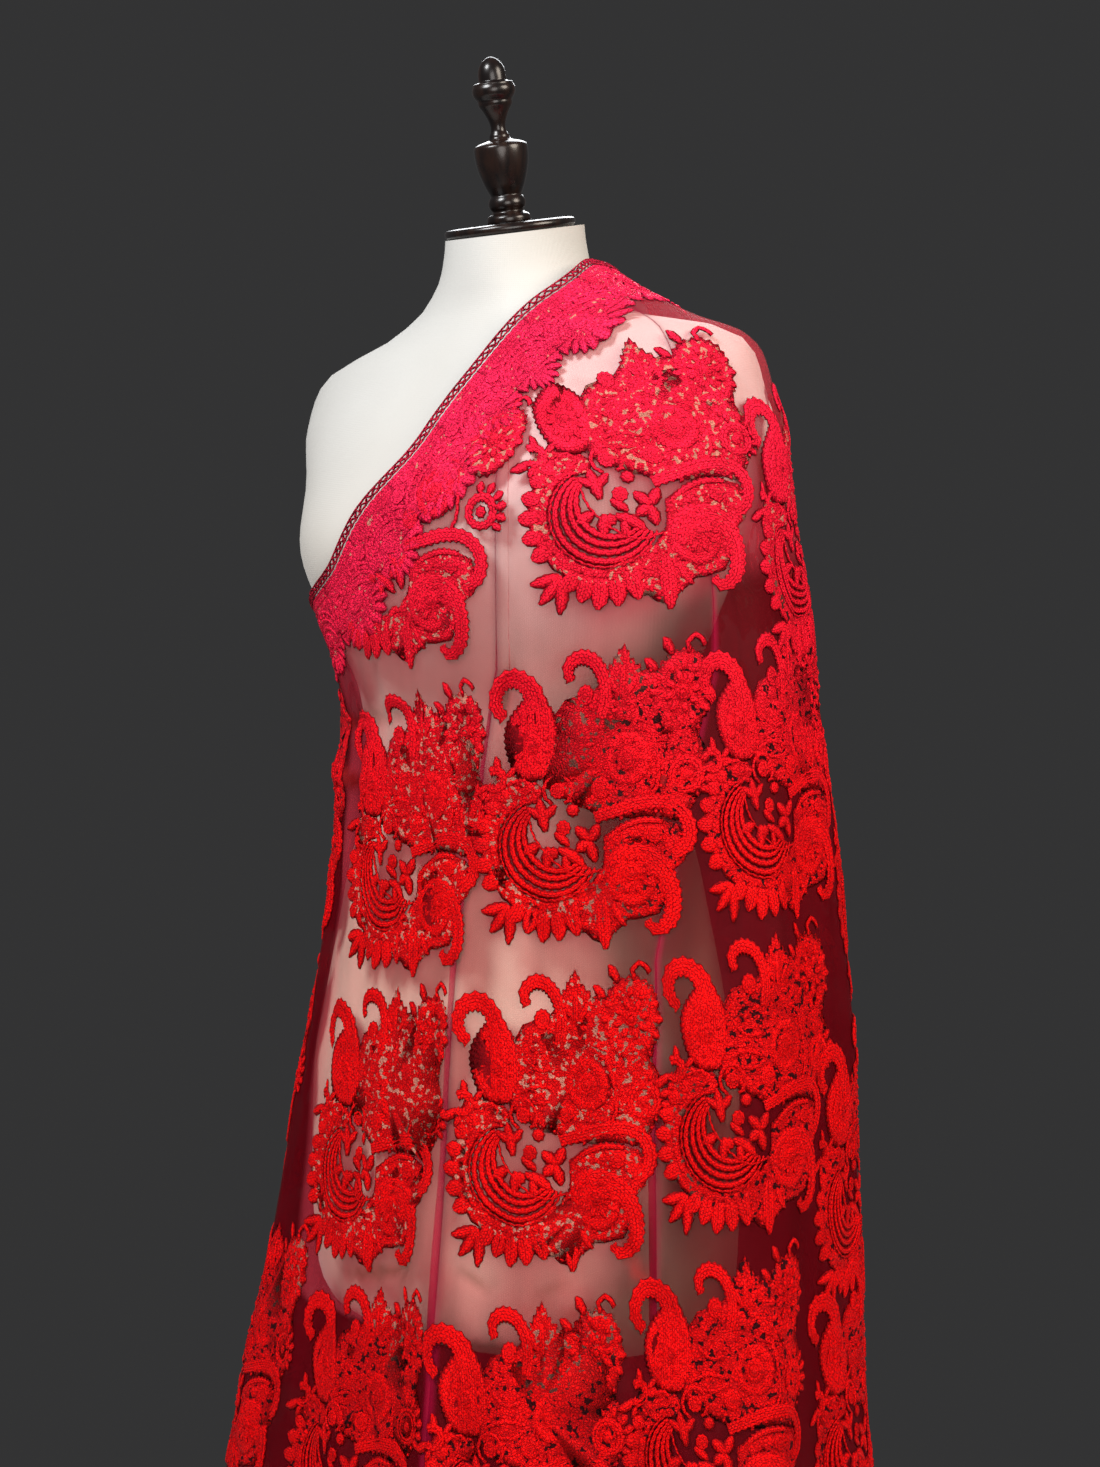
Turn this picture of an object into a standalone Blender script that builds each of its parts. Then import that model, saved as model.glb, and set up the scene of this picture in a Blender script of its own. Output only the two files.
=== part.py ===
"""A sheer embroidered dupatta worn over one shoulder of a limbless dress form.

The form faces -Y, its left side is +X, and its turned base stands on z = 0. The cloth is a
thin wall hung round the form: over the left shoulder, under the right arm, and down to a
plain hem, with its two ends lapped at the back.
"""

import math

import bmesh
import bpy
import numpy as np

# Cloth sizes, in metres
DUPATTA_WIDTH = 0.980
LOWEST_HEM = 0.120
CLOTH_WALL = 0.0012
SPRAY_RELIEF = 0.0011
BORDER_WIDTH = 0.080
BORDER_WALL = 0.0016
SEAM_GAP = 0.0003
CLEAR_OF_FORM = 0.0016
SEAT_ON_SHOULDER = 0.0006
LAP_LIFT = 0.0065

# Where each stretch of the cloth starts and ends, in degrees round the form from +X
FRONT_FROM, FRONT_TO = -165.0, -20.0
SIDE_FROM, SIDE_TO = -20.0, 76.0
BACK_FROM, BACK_TO = 44.0, 195.0
COLUMN_STEP = 5.0
BORDER_ROWS = 3
CLOTH_ROWS = 19

# Form and stand sizes
FORM_SIDES = 40
NECK_TILT = math.radians(12.0)
NECK_TOP = 1.412
NECK_FORWARD = 0.012
PLATE_RADIUS = 0.050
PLATE_HEIGHT = 0.008
POLE_RADIUS = 0.0135
FLANGE_RADIUS = 0.034
FLANGE_HEIGHT = 0.012
BASE_RADIUS = 0.172
BASE_HEIGHT = 0.048

# The form, level by level: height, half width, depth to the front, depth to the back
FORM_SECTIONS = (
    (0.668, 0.136, 0.098, 0.103),
    (0.676, 0.150, 0.110, 0.115),
    (0.695, 0.158, 0.117, 0.122),
    (0.760, 0.161, 0.123, 0.124),
    (0.830, 0.160, 0.121, 0.125),
    (0.900, 0.148, 0.110, 0.117),
    (0.970, 0.133, 0.101, 0.107),
    (1.050, 0.115, 0.089, 0.098),
    (1.100, 0.119, 0.099, 0.106),
    (1.150, 0.141, 0.124, 0.115),
    (1.200, 0.162, 0.137, 0.114),
    (1.245, 0.166, 0.118, 0.108),
    (1.285, 0.176, 0.093, 0.099),
    (1.310, 0.172, 0.078, 0.087),
    (1.326, 0.158, 0.071, 0.079),
    (1.345, 0.104, 0.064, 0.067),
    (1.365, 0.069, 0.059, 0.054),
    (1.385, 0.053, 0.059, 0.042),
    (1.412, 0.047, 0.059, 0.035),
)

# The hanging cloth: height, reach to the form's right, to its left, to the front, to the back
CLOTH_SECTIONS = (
    (0.170, 0.2860, 0.2620, 0.222, 0.236),
    (0.300, 0.2650, 0.2590, 0.203, 0.218),
    (0.420, 0.2460, 0.2560, 0.185, 0.200),
    (0.520, 0.2330, 0.2520, 0.177, 0.194),
    (0.620, 0.2120, 0.2480, 0.166, 0.187),
    (0.700, 0.1880, 0.2430, 0.155, 0.177),
    (0.773, 0.1730, 0.2420, 0.145, 0.167),
    (0.843, 0.1620, 0.2415, 0.135, 0.157),
    (0.905, 0.1480, 0.2400, 0.128, 0.148),
    (0.970, 0.1380, 0.2340, 0.122, 0.139),
    (1.040, 0.1320, 0.2260, 0.120, 0.131),
    (1.080, 0.1210, 0.2200, 0.122, 0.127),
    (1.120, 0.1270, 0.2150, 0.130, 0.125),
    (1.163, 0.1450, 0.2110, 0.139, 0.124),
    (1.220, 0.1680, 0.2030, 0.142, 0.117),
    (1.274, 0.1750, 0.1980, 0.116, 0.114),
    (1.300, 0.1780, 0.1900, 0.098, 0.104),
    (1.325, 0.1640, 0.1830, 0.083, 0.092),
    (1.338, 0.1350, 0.1710, 0.078, 0.084),
    (1.352, 0.1040, 0.1350, 0.074, 0.076),
    (1.375, 0.0740, 0.0880, 0.070, 0.062),
    (1.396, 0.0580, 0.0560, 0.066, 0.045),
)

# The cloth's top edge: angle, height. The hem lies the dupatta's width below it
TOP_EDGE = (
    (-150.0, 1.163),
    (-118.0, 1.184),
    (-105.0, 1.217),
    (-91.0, 1.256),
    (-81.0, 1.300),
    (-64.0, 1.338),
    (-45.0, 1.364),
    (-10.0, 1.390),
    (22.0, 1.388),
    (52.0, 1.352),
    (84.0, 1.300),
    (112.0, 1.240),
    (140.0, 1.185),
    (172.0, 1.160),
)

# Folds: angle at chest height, at waist height and at the hem, height where it starts,
# how far it stands out of the cloth (inwards below zero), and its half width
FOLD_HEIGHTS = (0.420, 0.940, 1.120)
FOLDS = (
    ("front pleat", -61.0, -73.0, -76.0, 1.150, 0.0085, 0.017),
    ("soft centre trough", -43.0, -44.0, -46.0, 1.170, -0.0075, 0.022),
    ("left hip crease", -18.0, -28.0, -32.0, 1.040, -0.0090, 0.018),
    ("side flute", -12.0, -15.0, -14.0, 1.200, 0.0050, 0.018),
    ("side trough", 0.0, -3.0, -2.0, 1.260, -0.0060, 0.018),
    ("outer side flute", 10.0, 11.0, 14.0, 1.280, 0.0055, 0.020),
    ("turned side trough", 30.0, 30.0, 32.0, 1.240, -0.0080, 0.024),
    ("back end flute", 52.0, 54.0, 57.0, 1.200, 0.0060, 0.024),
    ("back trough", 84.0, 86.0, 88.0, 1.180, -0.0070, 0.026),
    ("back flute", 106.0, 107.0, 110.0, 1.140, 0.0085, 0.026),
    ("back right trough", 130.0, 131.0, 134.0, 1.110, -0.0065, 0.026),
    ("under arm flute", 158.0, 156.0, 158.0, 1.100, 0.0070, 0.024),
    ("waist tuck", -162.0, -166.0, -170.0, 1.130, -0.0060, 0.018),
    ("right hip flute", -141.0, -138.0, -140.0, 1.030, 0.0060, 0.020),
    ("right front trough", -116.0, -112.0, -110.0, 1.000, -0.0065, 0.022),
    ("front left trough", -92.0, -93.0, -94.0, 0.900, -0.0060, 0.020),
)

# Embroidered sprays: the height of each row, and its sprays' angles round the cloth
SPRAY_ROWS = (
    (1.240, (-30, 7, 42, 76)),
    (1.176, (-79,)),
    (1.110, (112, 148)),
    (1.035, (-92, -39, -9, 20, 52, 88, 178, -142)),
    (0.875, (112, 146)),
    (0.830, (-100, -47, -16, 12, 42, 76, -178, -138)),
    (0.665, (-132, -100, -57, -26, 4, 32, 62, 94, 126, 158, -168)),
    (0.490, (-116, -86, -44, -12, 78, 110, 142, 172, -148)),
    (0.320, (-104, -132, -162, 168, 138, 108)),
)
SPRAY_HALF_WIDTH = 0.066
SPRAY_HALF_HEIGHT = 0.098


def clear_scene():
    for old in list(bpy.data.objects):
        bpy.data.objects.remove(old, do_unlink=True)


def material(name, colour, roughness, alpha=1.0, coat=0.0):
    made = bpy.data.materials.new(name)
    made.use_nodes = True
    shader = made.node_tree.nodes["Principled BSDF"]
    shader.inputs["Base Color"].default_value = (*colour, 1.0)
    shader.inputs["Roughness"].default_value = roughness
    shader.inputs["Metallic"].default_value = 0.0
    shader.inputs["Alpha"].default_value = alpha
    shader.inputs["Coat Weight"].default_value = coat
    return made


def add_object(name, mesh_data, look):
    mesh = bpy.data.meshes.new(name)
    mesh_data.to_mesh(mesh)
    mesh_data.free()
    mesh.shade_smooth()
    mesh.set_sharp_from_angle(angle=math.radians(40.0))
    made = bpy.data.objects.new(name, mesh)
    made.data.materials.append(look)
    bpy.context.scene.collection.objects.link(made)
    return made


def smooth_curve(xs, ys, at):
    """A curve through the points with no overshoot between them, held level past its ends."""
    xs = np.asarray(xs, float)
    ys = np.asarray(ys, float)
    steps = np.diff(xs)
    slopes = np.diff(ys) / steps
    tangents = np.zeros_like(ys)
    same_way = slopes[:-1] * slopes[1:] > 0.0
    total = np.where(same_way, slopes[:-1] + slopes[1:], 1.0)
    tangents[1:-1] = np.where(same_way, 2.0 * slopes[:-1] * slopes[1:] / total, 0.0)
    tangents[0] = slopes[0]
    tangents[-1] = slopes[-1]
    at = np.clip(at, xs[0], xs[-1])
    k = np.clip(np.searchsorted(xs, at) - 1, 0, len(steps) - 1)
    t = (at - xs[k]) / steps[k]
    rise = ys[k] * (1.0 + 2.0 * t) * (1.0 - t) ** 2
    rise += ys[k + 1] * t * t * (3.0 - 2.0 * t)
    rise += steps[k] * tangents[k] * t * (1.0 - t) ** 2
    rise -= steps[k] * tangents[k + 1] * t * t * (1.0 - t)
    return rise


def smooth_step(low, high, at):
    t = np.clip((at - low) / (high - low), 0.0, 1.0)
    return t * t * (3.0 - 2.0 * t)


def quarter_ellipses(angle, right, left, front, back):
    """The reach of a section made of four quarter ellipses, at an angle in degrees."""
    along = np.cos(np.radians(angle))
    across = np.sin(np.radians(angle))
    side = np.where(along > 0.0, left, right)
    deep = np.where(across > 0.0, back, front)
    return 1.0 / np.sqrt((along / side) ** 2 + (across / deep) ** 2)


def form_reach(angle, height):
    table = np.array(FORM_SECTIONS)
    half, front, back = (smooth_curve(table[:, 0], table[:, k], height) for k in (1, 2, 3))
    return quarter_ellipses(angle, half, half, front, back)


def turned(angle):
    """The same angle between -180 and 180 degrees."""
    return (angle + 180.0) % 360.0 - 180.0


def top_height(angle):
    """The height of the cloth's top edge at an angle, once round and back to the start."""
    rows = np.array([(row[0] + lap, row[1]) for lap in (-360.0, 0.0, 360.0) for row in TOP_EDGE])
    return smooth_curve(rows[:, 0], rows[:, 1], turned(angle))


def fold_relief(angle, height, reach):
    """How far the folds move the cloth in or out."""
    out = np.zeros(np.broadcast(angle, height).shape)
    for _, chest, waist, hem, start, depth, half_width in FOLDS:
        centre = np.interp(height, FOLD_HEIGHTS, (hem, waist, chest))
        along = np.radians(turned(angle - centre)) * reach / half_width
        grown = smooth_step(start, start - 0.22, height) * (0.75 + 0.6 * smooth_step(0.95, 0.45, height))
        out += depth * grown * np.exp(-along * along)
    return out


def cloth_reach(angle, height):
    """The outer face of the net, with its folds, kept clear of the form."""
    table = np.array(CLOTH_SECTIONS)
    right, left, front, back = (
        smooth_curve(table[:, 0], table[:, k], height) for k in (1, 2, 3, 4)
    )
    reach = quarter_ellipses(angle, right, left, front, back)
    reach = reach + fold_relief(angle, height, reach)
    rise = 0.002
    slope = (form_reach(angle, height + rise) - form_reach(angle, height - rise)) / (2.0 * rise)
    clear = CLEAR_OF_FORM + (SEAT_ON_SHOULDER - CLEAR_OF_FORM) * smooth_step(1.300, 1.330, height)
    least = form_reach(angle, height) + (CLOTH_WALL + clear) * np.sqrt(1.0 + slope**2)
    least = np.where(height < FORM_SECTIONS[2][0], 0.0, least)
    blend = 0.002
    return 0.5 * (reach + least + np.sqrt((reach - least) ** 2 + blend**2))


def column_heights(angle, rows):
    """Heights down one column: even steps across the border, then even steps to the hem."""
    fine = np.linspace(top_height(angle), LOWEST_HEM, 400)
    reach = cloth_reach(np.full(fine.shape, float(angle)), fine)
    length = np.concatenate([[0.0], np.cumsum(np.hypot(np.diff(reach), np.diff(fine)))])
    marks = np.concatenate(
        [
            np.linspace(0.0, BORDER_WIDTH, BORDER_ROWS + 1),
            np.linspace(BORDER_WIDTH, DUPATTA_WIDTH, rows - BORDER_ROWS + 1)[1:],
        ]
    )
    return np.interp(marks, length, fine)


def spray_mask(angle, height, reach):
    """One inside an embroidered spray, nought on the bare net."""
    mask = np.zeros(np.broadcast(angle, height).shape)
    for level, centres in SPRAY_ROWS:
        for centre in centres:
            along = np.radians(turned(angle - centre)) * reach / SPRAY_HALF_WIDTH
            up = (height - level) / SPRAY_HALF_HEIGHT
            far = np.hypot(along, up)
            mask = np.maximum(mask, smooth_step(1.12, 0.88, far))
    return mask


def cloth_points(angles, lift_from=None):
    """Outer points, normals and the spray mask of one stretch, as rows by columns."""
    angles = np.asarray(angles, float)
    heights = np.array([column_heights(a, CLOTH_ROWS) for a in angles]).T
    around = np.broadcast_to(angles, heights.shape)

    def place(angle, height):
        reach = cloth_reach(angle, height)
        if lift_from is not None:
            reach = reach + LAP_LIFT * smooth_step(lift_from, lift_from + 8.0, angle)
        turn = np.radians(angle)
        return np.stack([reach * np.cos(turn), reach * np.sin(turn), height], axis=-1)

    points = place(around, heights)
    nudge = 0.2
    rise = 0.001
    across = place(around + nudge, heights) - place(around - nudge, heights)
    up = place(around, heights + rise) - place(around, heights - rise)
    normals = np.cross(across, up)
    normals /= np.linalg.norm(normals, axis=-1, keepdims=True)
    mask = spray_mask(around, heights, np.hypot(points[..., 0], points[..., 1]))
    return points, normals, mask


def keep_seam(points):
    """Draws the first and last columns in by half the seam gap."""
    drawn = points.copy()
    for edge, inner in ((0, 1), (-1, -2)):
        step = points[:, inner] - points[:, edge]
        step[:, 2] = 0.0
        step /= np.linalg.norm(step, axis=-1, keepdims=True)
        drawn[:, edge] += step * 0.5 * SEAM_GAP
    return drawn


def wall_object(name, outer, inner, look):
    """A closed wall between two grids of points, rows from the top down by columns round."""
    rows, columns = outer.shape[:2]
    made = bmesh.new()
    out = [[made.verts.new(tuple(p)) for p in row] for row in outer]
    back = [[made.verts.new(tuple(p)) for p in row] for row in inner]
    for r in range(rows - 1):
        for c in range(columns - 1):
            made.faces.new((out[r][c], out[r + 1][c], out[r + 1][c + 1], out[r][c + 1]))
            made.faces.new((back[r][c], back[r][c + 1], back[r + 1][c + 1], back[r + 1][c]))
    for c in range(columns - 1):
        made.faces.new((out[0][c], out[0][c + 1], back[0][c + 1], back[0][c]))
        made.faces.new((out[-1][c + 1], out[-1][c], back[-1][c], back[-1][c + 1]))
    for r in range(rows - 1):
        made.faces.new((out[r + 1][0], out[r][0], back[r][0], back[r + 1][0]))
        made.faces.new((out[r][-1], out[r + 1][-1], back[r + 1][-1], back[r][-1]))
    bmesh.ops.triangulate(made, faces=made.faces[:])
    return add_object(name, made, look)


def turned_solid(name, profile, sides, look):
    """A solid turned about its own Z axis from radius and height, bottom to top."""
    made = bmesh.new()
    rings = []
    for radius, height in profile:
        ring = []
        for k in range(sides):
            turn = 2.0 * math.pi * k / sides
            ring.append(made.verts.new((radius * math.cos(turn), radius * math.sin(turn), height)))
        rings.append(ring)
    for low, high in zip(rings, rings[1:]):
        for k in range(sides):
            after = (k + 1) % sides
            made.faces.new((low[k], low[after], high[after], high[k]))
    made.faces.new(list(reversed(rings[0])))
    made.faces.new(rings[-1])
    return add_object(name, made, look)


def build_stretch(name, border_name, first, last, net, embroidery, lift_from=None):
    count = round((last - first) / COLUMN_STEP)
    angles = np.linspace(first, last, count + 1)
    points, normals, mask = cloth_points(angles, lift_from)
    outer = keep_seam(points + normals * SPRAY_RELIEF * mask[..., None])
    inner = keep_seam(points - normals * CLOTH_WALL)
    wall_object(name, outer, inner, net)
    low = keep_seam(points + normals * (SPRAY_RELIEF * mask[..., None] + SEAM_GAP))
    high = keep_seam(points + normals * (SPRAY_RELIEF * mask[..., None] + SEAM_GAP + BORDER_WALL))
    band = slice(0, BORDER_ROWS + 1)
    wall_object(border_name, high[band], low[band], embroidery)


def build_cloth():
    net = material("sheer_red_net", (0.32, 0.006, 0.018), 0.62, alpha=0.5)
    embroidery = material("scarlet_embroidery", (0.76, 0.008, 0.018), 0.55)
    build_stretch("front_drape", "border_front", FRONT_FROM, FRONT_TO, net, embroidery)
    build_stretch("side_fall", "border_side", SIDE_FROM, SIDE_TO, net, embroidery, BACK_FROM - 10.0)
    build_stretch("back_drape", "border_back", BACK_FROM, BACK_TO, net, embroidery)


def neck_lean(height, depth):
    """How far a neck point rises or drops so that the neck ends in a tilted plane."""
    return depth * math.tan(NECK_TILT) * smooth_step(1.372, NECK_TOP, height)


def build_form():
    cream = material("cream_jersey", (0.86, 0.81, 0.72), 0.75)
    levels = sorted(set(np.linspace(0.70, 1.33, 15)) | {row[0] for row in FORM_SECTIONS})
    kept = [levels[0]]
    for level in levels[1:]:
        if level - kept[-1] > 0.007:
            kept.append(level)
    kept[-1] = NECK_TOP
    angles = np.arange(FORM_SIDES) * 360.0 / FORM_SIDES
    made = bmesh.new()
    rings = []
    for level in kept:
        reach = form_reach(angles, level)
        turn = np.radians(angles)
        ring = []
        for x, y in zip(reach * np.cos(turn), reach * np.sin(turn)):
            ring.append(made.verts.new((x, y, level + neck_lean(level, y))))
        rings.append(ring)
    for low, high in zip(rings, rings[1:]):
        for k in range(FORM_SIDES):
            after = (k + 1) % FORM_SIDES
            made.faces.new((low[k], low[after], high[after], high[k]))
    made.faces.new(list(reversed(rings[0])))
    made.faces.new(rings[-1])
    add_object("form_torso", made, cream)


def finial_profile():
    """Radius and height of the turned finial, from its foot on the plate to its dome."""
    foot = [(0.0155, 0.0), (0.0155, 0.0030), (0.0125, 0.0050), (0.0135, 0.0080)]
    foot += [(0.0113, 0.0108), (0.0132, 0.0138), (0.0098, 0.0170)]
    urn = [(0.0102, 0.0210), (0.0122, 0.0300), (0.0146, 0.0400), (0.0158, 0.0465)]
    urn += [(0.0156, 0.0505), (0.0130, 0.0530), (0.0082, 0.0552)]
    waist = [(0.0070, 0.0600), (0.0092, 0.0632), (0.0070, 0.0664), (0.0072, 0.0760)]
    collar = [(0.0122, 0.0795), (0.0130, 0.0822), (0.0116, 0.0846), (0.0129, 0.0868)]
    collar += [(0.0118, 0.0892), (0.0074, 0.0908)]
    dome = []
    for k in range(6):
        turn = math.radians(-20.0 + 100.0 * k / 5.0)
        dome.append((0.0088 * math.cos(turn), 0.0965 + 0.0105 * math.sin(turn)))
    return foot + urn + waist + collar + dome


def build_stand():
    wood = material("dark_turned_wood", (0.028, 0.012, 0.008), 0.22, coat=0.6)
    plate_profile = [(PLATE_RADIUS - 0.004, 0.0), (PLATE_RADIUS, 0.003)]
    plate_profile += [(PLATE_RADIUS, 0.0055), (PLATE_RADIUS - 0.003, PLATE_HEIGHT)]
    plate = turned_solid("neck_plate", plate_profile, 32, wood)
    lean = math.tan(NECK_TILT)
    seat = SEAM_GAP * math.sqrt(1.0 + lean * lean)
    plate.location = (0.0, -NECK_FORWARD, NECK_TOP - NECK_FORWARD * lean + seat)
    plate.rotation_euler = (NECK_TILT, 0.0, 0.0)
    finial = turned_solid("finial", finial_profile(), 24, wood)
    finial.parent = plate
    finial.location = (0.0, 0.0, PLATE_HEIGHT + SEAM_GAP)
    form_floor = FORM_SECTIONS[0][0]
    pole_top = form_floor - SEAM_GAP
    pole_foot = BASE_HEIGHT + SEAM_GAP
    pole_profile = [(0.020, pole_foot), (0.022, pole_foot + 0.010), (0.016, pole_foot + 0.022)]
    pole_profile += [(POLE_RADIUS, pole_foot + 0.040), (POLE_RADIUS, pole_top - 0.045)]
    pole_profile += [(0.018, pole_top - 0.025), (FLANGE_RADIUS, pole_top - FLANGE_HEIGHT)]
    pole_profile += [(FLANGE_RADIUS, pole_top)]
    turned_solid("stand_pole", pole_profile, 20, wood)
    base_profile = [(BASE_RADIUS - 0.004, 0.0), (BASE_RADIUS, 0.004), (BASE_RADIUS, 0.014)]
    base_profile += [(BASE_RADIUS - 0.007, 0.020), (BASE_RADIUS - 0.020, 0.024)]
    base_profile += [(0.110, 0.027), (0.062, 0.033), (0.040, 0.040), (0.034, BASE_HEIGHT)]
    turned_solid("stand_base", base_profile, 40, wood)


clear_scene()
build_form()
build_stand()
build_cloth()
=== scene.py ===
# %% [markdown]
# # An embroidered dupatta on a dress form
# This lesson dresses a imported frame: a sheer red net dupatta, thick with paisley
# embroidery, worn over the left shoulder of a limbless dress form on a turned stand.
# Everything is in metres. The form faces -Y and its left side is +X.

# %% Load the frame
import math

import bpy
import numpy as np
from mathutils import Matrix, Vector


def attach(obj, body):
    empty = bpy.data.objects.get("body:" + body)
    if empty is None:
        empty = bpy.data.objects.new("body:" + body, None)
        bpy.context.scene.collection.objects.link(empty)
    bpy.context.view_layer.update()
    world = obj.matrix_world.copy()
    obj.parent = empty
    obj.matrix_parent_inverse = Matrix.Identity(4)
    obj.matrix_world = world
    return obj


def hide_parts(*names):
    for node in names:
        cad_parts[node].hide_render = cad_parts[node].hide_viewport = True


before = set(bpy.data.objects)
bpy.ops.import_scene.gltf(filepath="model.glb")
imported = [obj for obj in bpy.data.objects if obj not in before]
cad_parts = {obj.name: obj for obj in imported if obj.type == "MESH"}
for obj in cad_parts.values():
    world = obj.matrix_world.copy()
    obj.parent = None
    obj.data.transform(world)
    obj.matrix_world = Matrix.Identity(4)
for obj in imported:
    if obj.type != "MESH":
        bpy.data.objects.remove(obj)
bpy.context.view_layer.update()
print("nodes", sorted(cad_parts))

# %% [markdown]
# ## Camera, floor and light
# The photo looks at the form from about 35 degrees to its left, from chest height and
# a metre and a half away. The camera is placed by those three numbers and turned a
# little off the stand's axis, as the picture is framed.

# %% Camera
PHOTO_WIDTH, PHOTO_HEIGHT = 1100, 1467
VIEW_AZIMUTH = math.radians(35.0)
CAMERA_DISTANCE = 1.50
CAMERA_HEIGHT = 1.156
FOCAL_PIXELS = 2160.0
PITCH_DOWN = math.radians(3.2)
YAW_RIGHT = math.radians(0.77)
SENSOR_HEIGHT = 24.0


def place_camera():
    data = bpy.data.cameras.new("photo_camera")
    data.sensor_fit = "VERTICAL"
    data.sensor_height = SENSOR_HEIGHT
    data.lens = FOCAL_PIXELS / PHOTO_HEIGHT * SENSOR_HEIGHT
    camera = bpy.data.objects.new("photo_camera", data)
    bpy.context.scene.collection.objects.link(camera)
    side, front = math.sin(VIEW_AZIMUTH), math.cos(VIEW_AZIMUTH)
    camera.location = (CAMERA_DISTANCE * side, -CAMERA_DISTANCE * front, CAMERA_HEIGHT)
    upright = math.radians(90.0) - PITCH_DOWN
    camera.rotation_euler = (upright, 0.0, VIEW_AZIMUTH - YAW_RIGHT)
    bpy.context.scene.camera = camera
    return camera


camera = place_camera()
print("lens", round(camera.data.lens, 1), "mm")

# %% [markdown]
# Soft studio light comes from large area lamps: a broad key from the front, a warm fill
# on the draped side, a low one that reaches under the chest and a weak one from behind.
# The world is a plain dark grey, so that the bare net looks deep maroon where nothing
# pale stands behind it. The camera sees that grey darker than it lights the cloth.

# %% Lamps, world and floor
FLOOR_RADIUS, FLOOR_SIDES = 1.30, 96
WORLD_LIGHT, WORLD_SEEN = 0.11, 0.034
LAMPS = (
    # name, azimuth, elevation, distance, size, watts, colour
    ("key", -10.0, 44.0, 2.1, 0.8, 56.0, (0.98, 0.99, 1.0)),
    ("fill", 92.0, 28.0, 2.1, 1.1, 46.0, (1.0, 0.88, 0.75)),
    ("low_front", 38.0, 6.0, 2.5, 1.4, 30.0, (1.0, 0.95, 0.91)),
    ("back", 212.0, 38.0, 2.4, 1.2, 22.0, (0.94, 0.97, 1.0)),
)
LAMP_AIM = Vector((0.0, 0.0, 1.12))


def add_lamp(name, azimuth, elevation, distance, size, watts, colour):
    data = bpy.data.lights.new(name, "AREA")
    data.shape = "DISK"
    data.size = size
    data.energy = watts
    data.color = colour
    lamp = bpy.data.objects.new(name, data)
    bpy.context.scene.collection.objects.link(lamp)
    turn, rise = math.radians(azimuth), math.radians(elevation)
    level = math.cos(rise)
    way = Vector((math.sin(turn) * level, -math.cos(turn) * level, math.sin(rise)))
    lamp.location = LAMP_AIM + way * distance
    lamp.rotation_euler = way.to_track_quat("Z", "Y").to_euler()


for lamp in LAMPS:
    add_lamp(*lamp)

world = bpy.data.worlds.new("plain_grey")
bpy.context.scene.world = world
world.use_nodes = True
backdrop = world.node_tree.nodes["Background"]
backdrop.inputs["Color"].default_value = (0.98, 0.98, 1.0, 1.0)
seen = world.node_tree.nodes.new("ShaderNodeLightPath").outputs["Is Camera Ray"]
strength = world.node_tree.nodes.new("ShaderNodeMapRange")
strength.inputs["To Min"].default_value = WORLD_LIGHT
strength.inputs["To Max"].default_value = WORLD_SEEN
world.node_tree.links.new(seen, strength.inputs["Value"])
world.node_tree.links.new(strength.outputs["Result"], backdrop.inputs["Strength"])
bpy.context.scene.view_settings.view_transform = "Standard"


def nothing_selected():
    if bpy.context.object and bpy.context.object.mode != "OBJECT":
        bpy.ops.object.mode_set(mode="OBJECT")
    bpy.ops.object.select_all(action="DESELECT")


nothing_selected()
bpy.ops.mesh.primitive_circle_add(vertices=FLOOR_SIDES, radius=FLOOR_RADIUS, fill_type="NGON")
floor = bpy.context.object
floor.name = "pale_floor"
print("lamps", len(LAMPS), "floor", FLOOR_RADIUS, "m")

# %% [markdown]
# ## Node helpers
# A material is a small tree of nodes. They can be set by hand in the shader editor. Here
# one helper adds a node and fills or links its inputs by name, and others do arithmetic,
# mix colours, read noise or a painted value, so that each recipe below reads top down.


# %% Node helpers
def join(tree, socket, value):
    if isinstance(value, bpy.types.NodeSocket):
        tree.links.new(value, socket)
    else:
        socket.default_value = value


def fill(tree, made, inputs):
    for name, value in inputs.items():
        join(tree, made.inputs[name], value)


def node(tree, kind, inputs=None, **settings):
    made = tree.nodes.new(kind)
    for name, value in settings.items():
        setattr(made, name, value)
    fill(tree, made, inputs or {})
    return made


def sums(tree, operation, first, second=0.0, third=0.0):
    made = tree.nodes.new("ShaderNodeMath")
    made.operation = operation
    for socket, value in zip(made.inputs, (first, second, third)):
        join(tree, socket, value)
    return made.outputs[0]


def blend_colours(tree, share, first, second, way="MIX"):
    made = tree.nodes.new("ShaderNodeMix")
    made.data_type = "RGBA"
    made.blend_type = way
    join(tree, made.inputs[0], share)
    join(tree, made.inputs[6], first)
    join(tree, made.inputs[7], second)
    return made.outputs[2]


def between(tree, value, low, high):
    """Nought below low, one above high, and smooth between."""
    made = tree.nodes.new("ShaderNodeMapRange")
    made.interpolation_type = "SMOOTHSTEP"
    fill(tree, made, {"Value": value, "From Min": low, "From Max": high})
    return made.outputs["Result"]


def noise(tree, vector, scale, detail, output="Fac"):
    inputs = {"Vector": vector, "Scale": scale, "Detail": detail}
    return node(tree, "ShaderNodeTexNoise", inputs).outputs[output]


def bumped(tree, height, strength, distance):
    inputs = {"Height": height, "Strength": strength, "Distance": distance}
    return node(tree, "ShaderNodeBump", inputs).outputs["Normal"]


def painted(tree, label):
    """A value that was painted on the mesh's points."""
    return node(tree, "ShaderNodeAttribute", attribute_name=label).outputs["Fac"]


def object_place(tree):
    return node(tree, "ShaderNodeTexCoord").outputs["Object"]


def level_of(tree, place):
    return node(tree, "ShaderNodeSeparateXYZ", {"Vector": place}).outputs["Z"]


def stretched(tree, vector, scale=(1.0, 1.0, 1.0), rotation=(0.0, 0.0, 0.0)):
    inputs = {"Vector": vector, "Scale": scale, "Rotation": rotation}
    return node(tree, "ShaderNodeMapping", inputs).outputs["Vector"]


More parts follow.
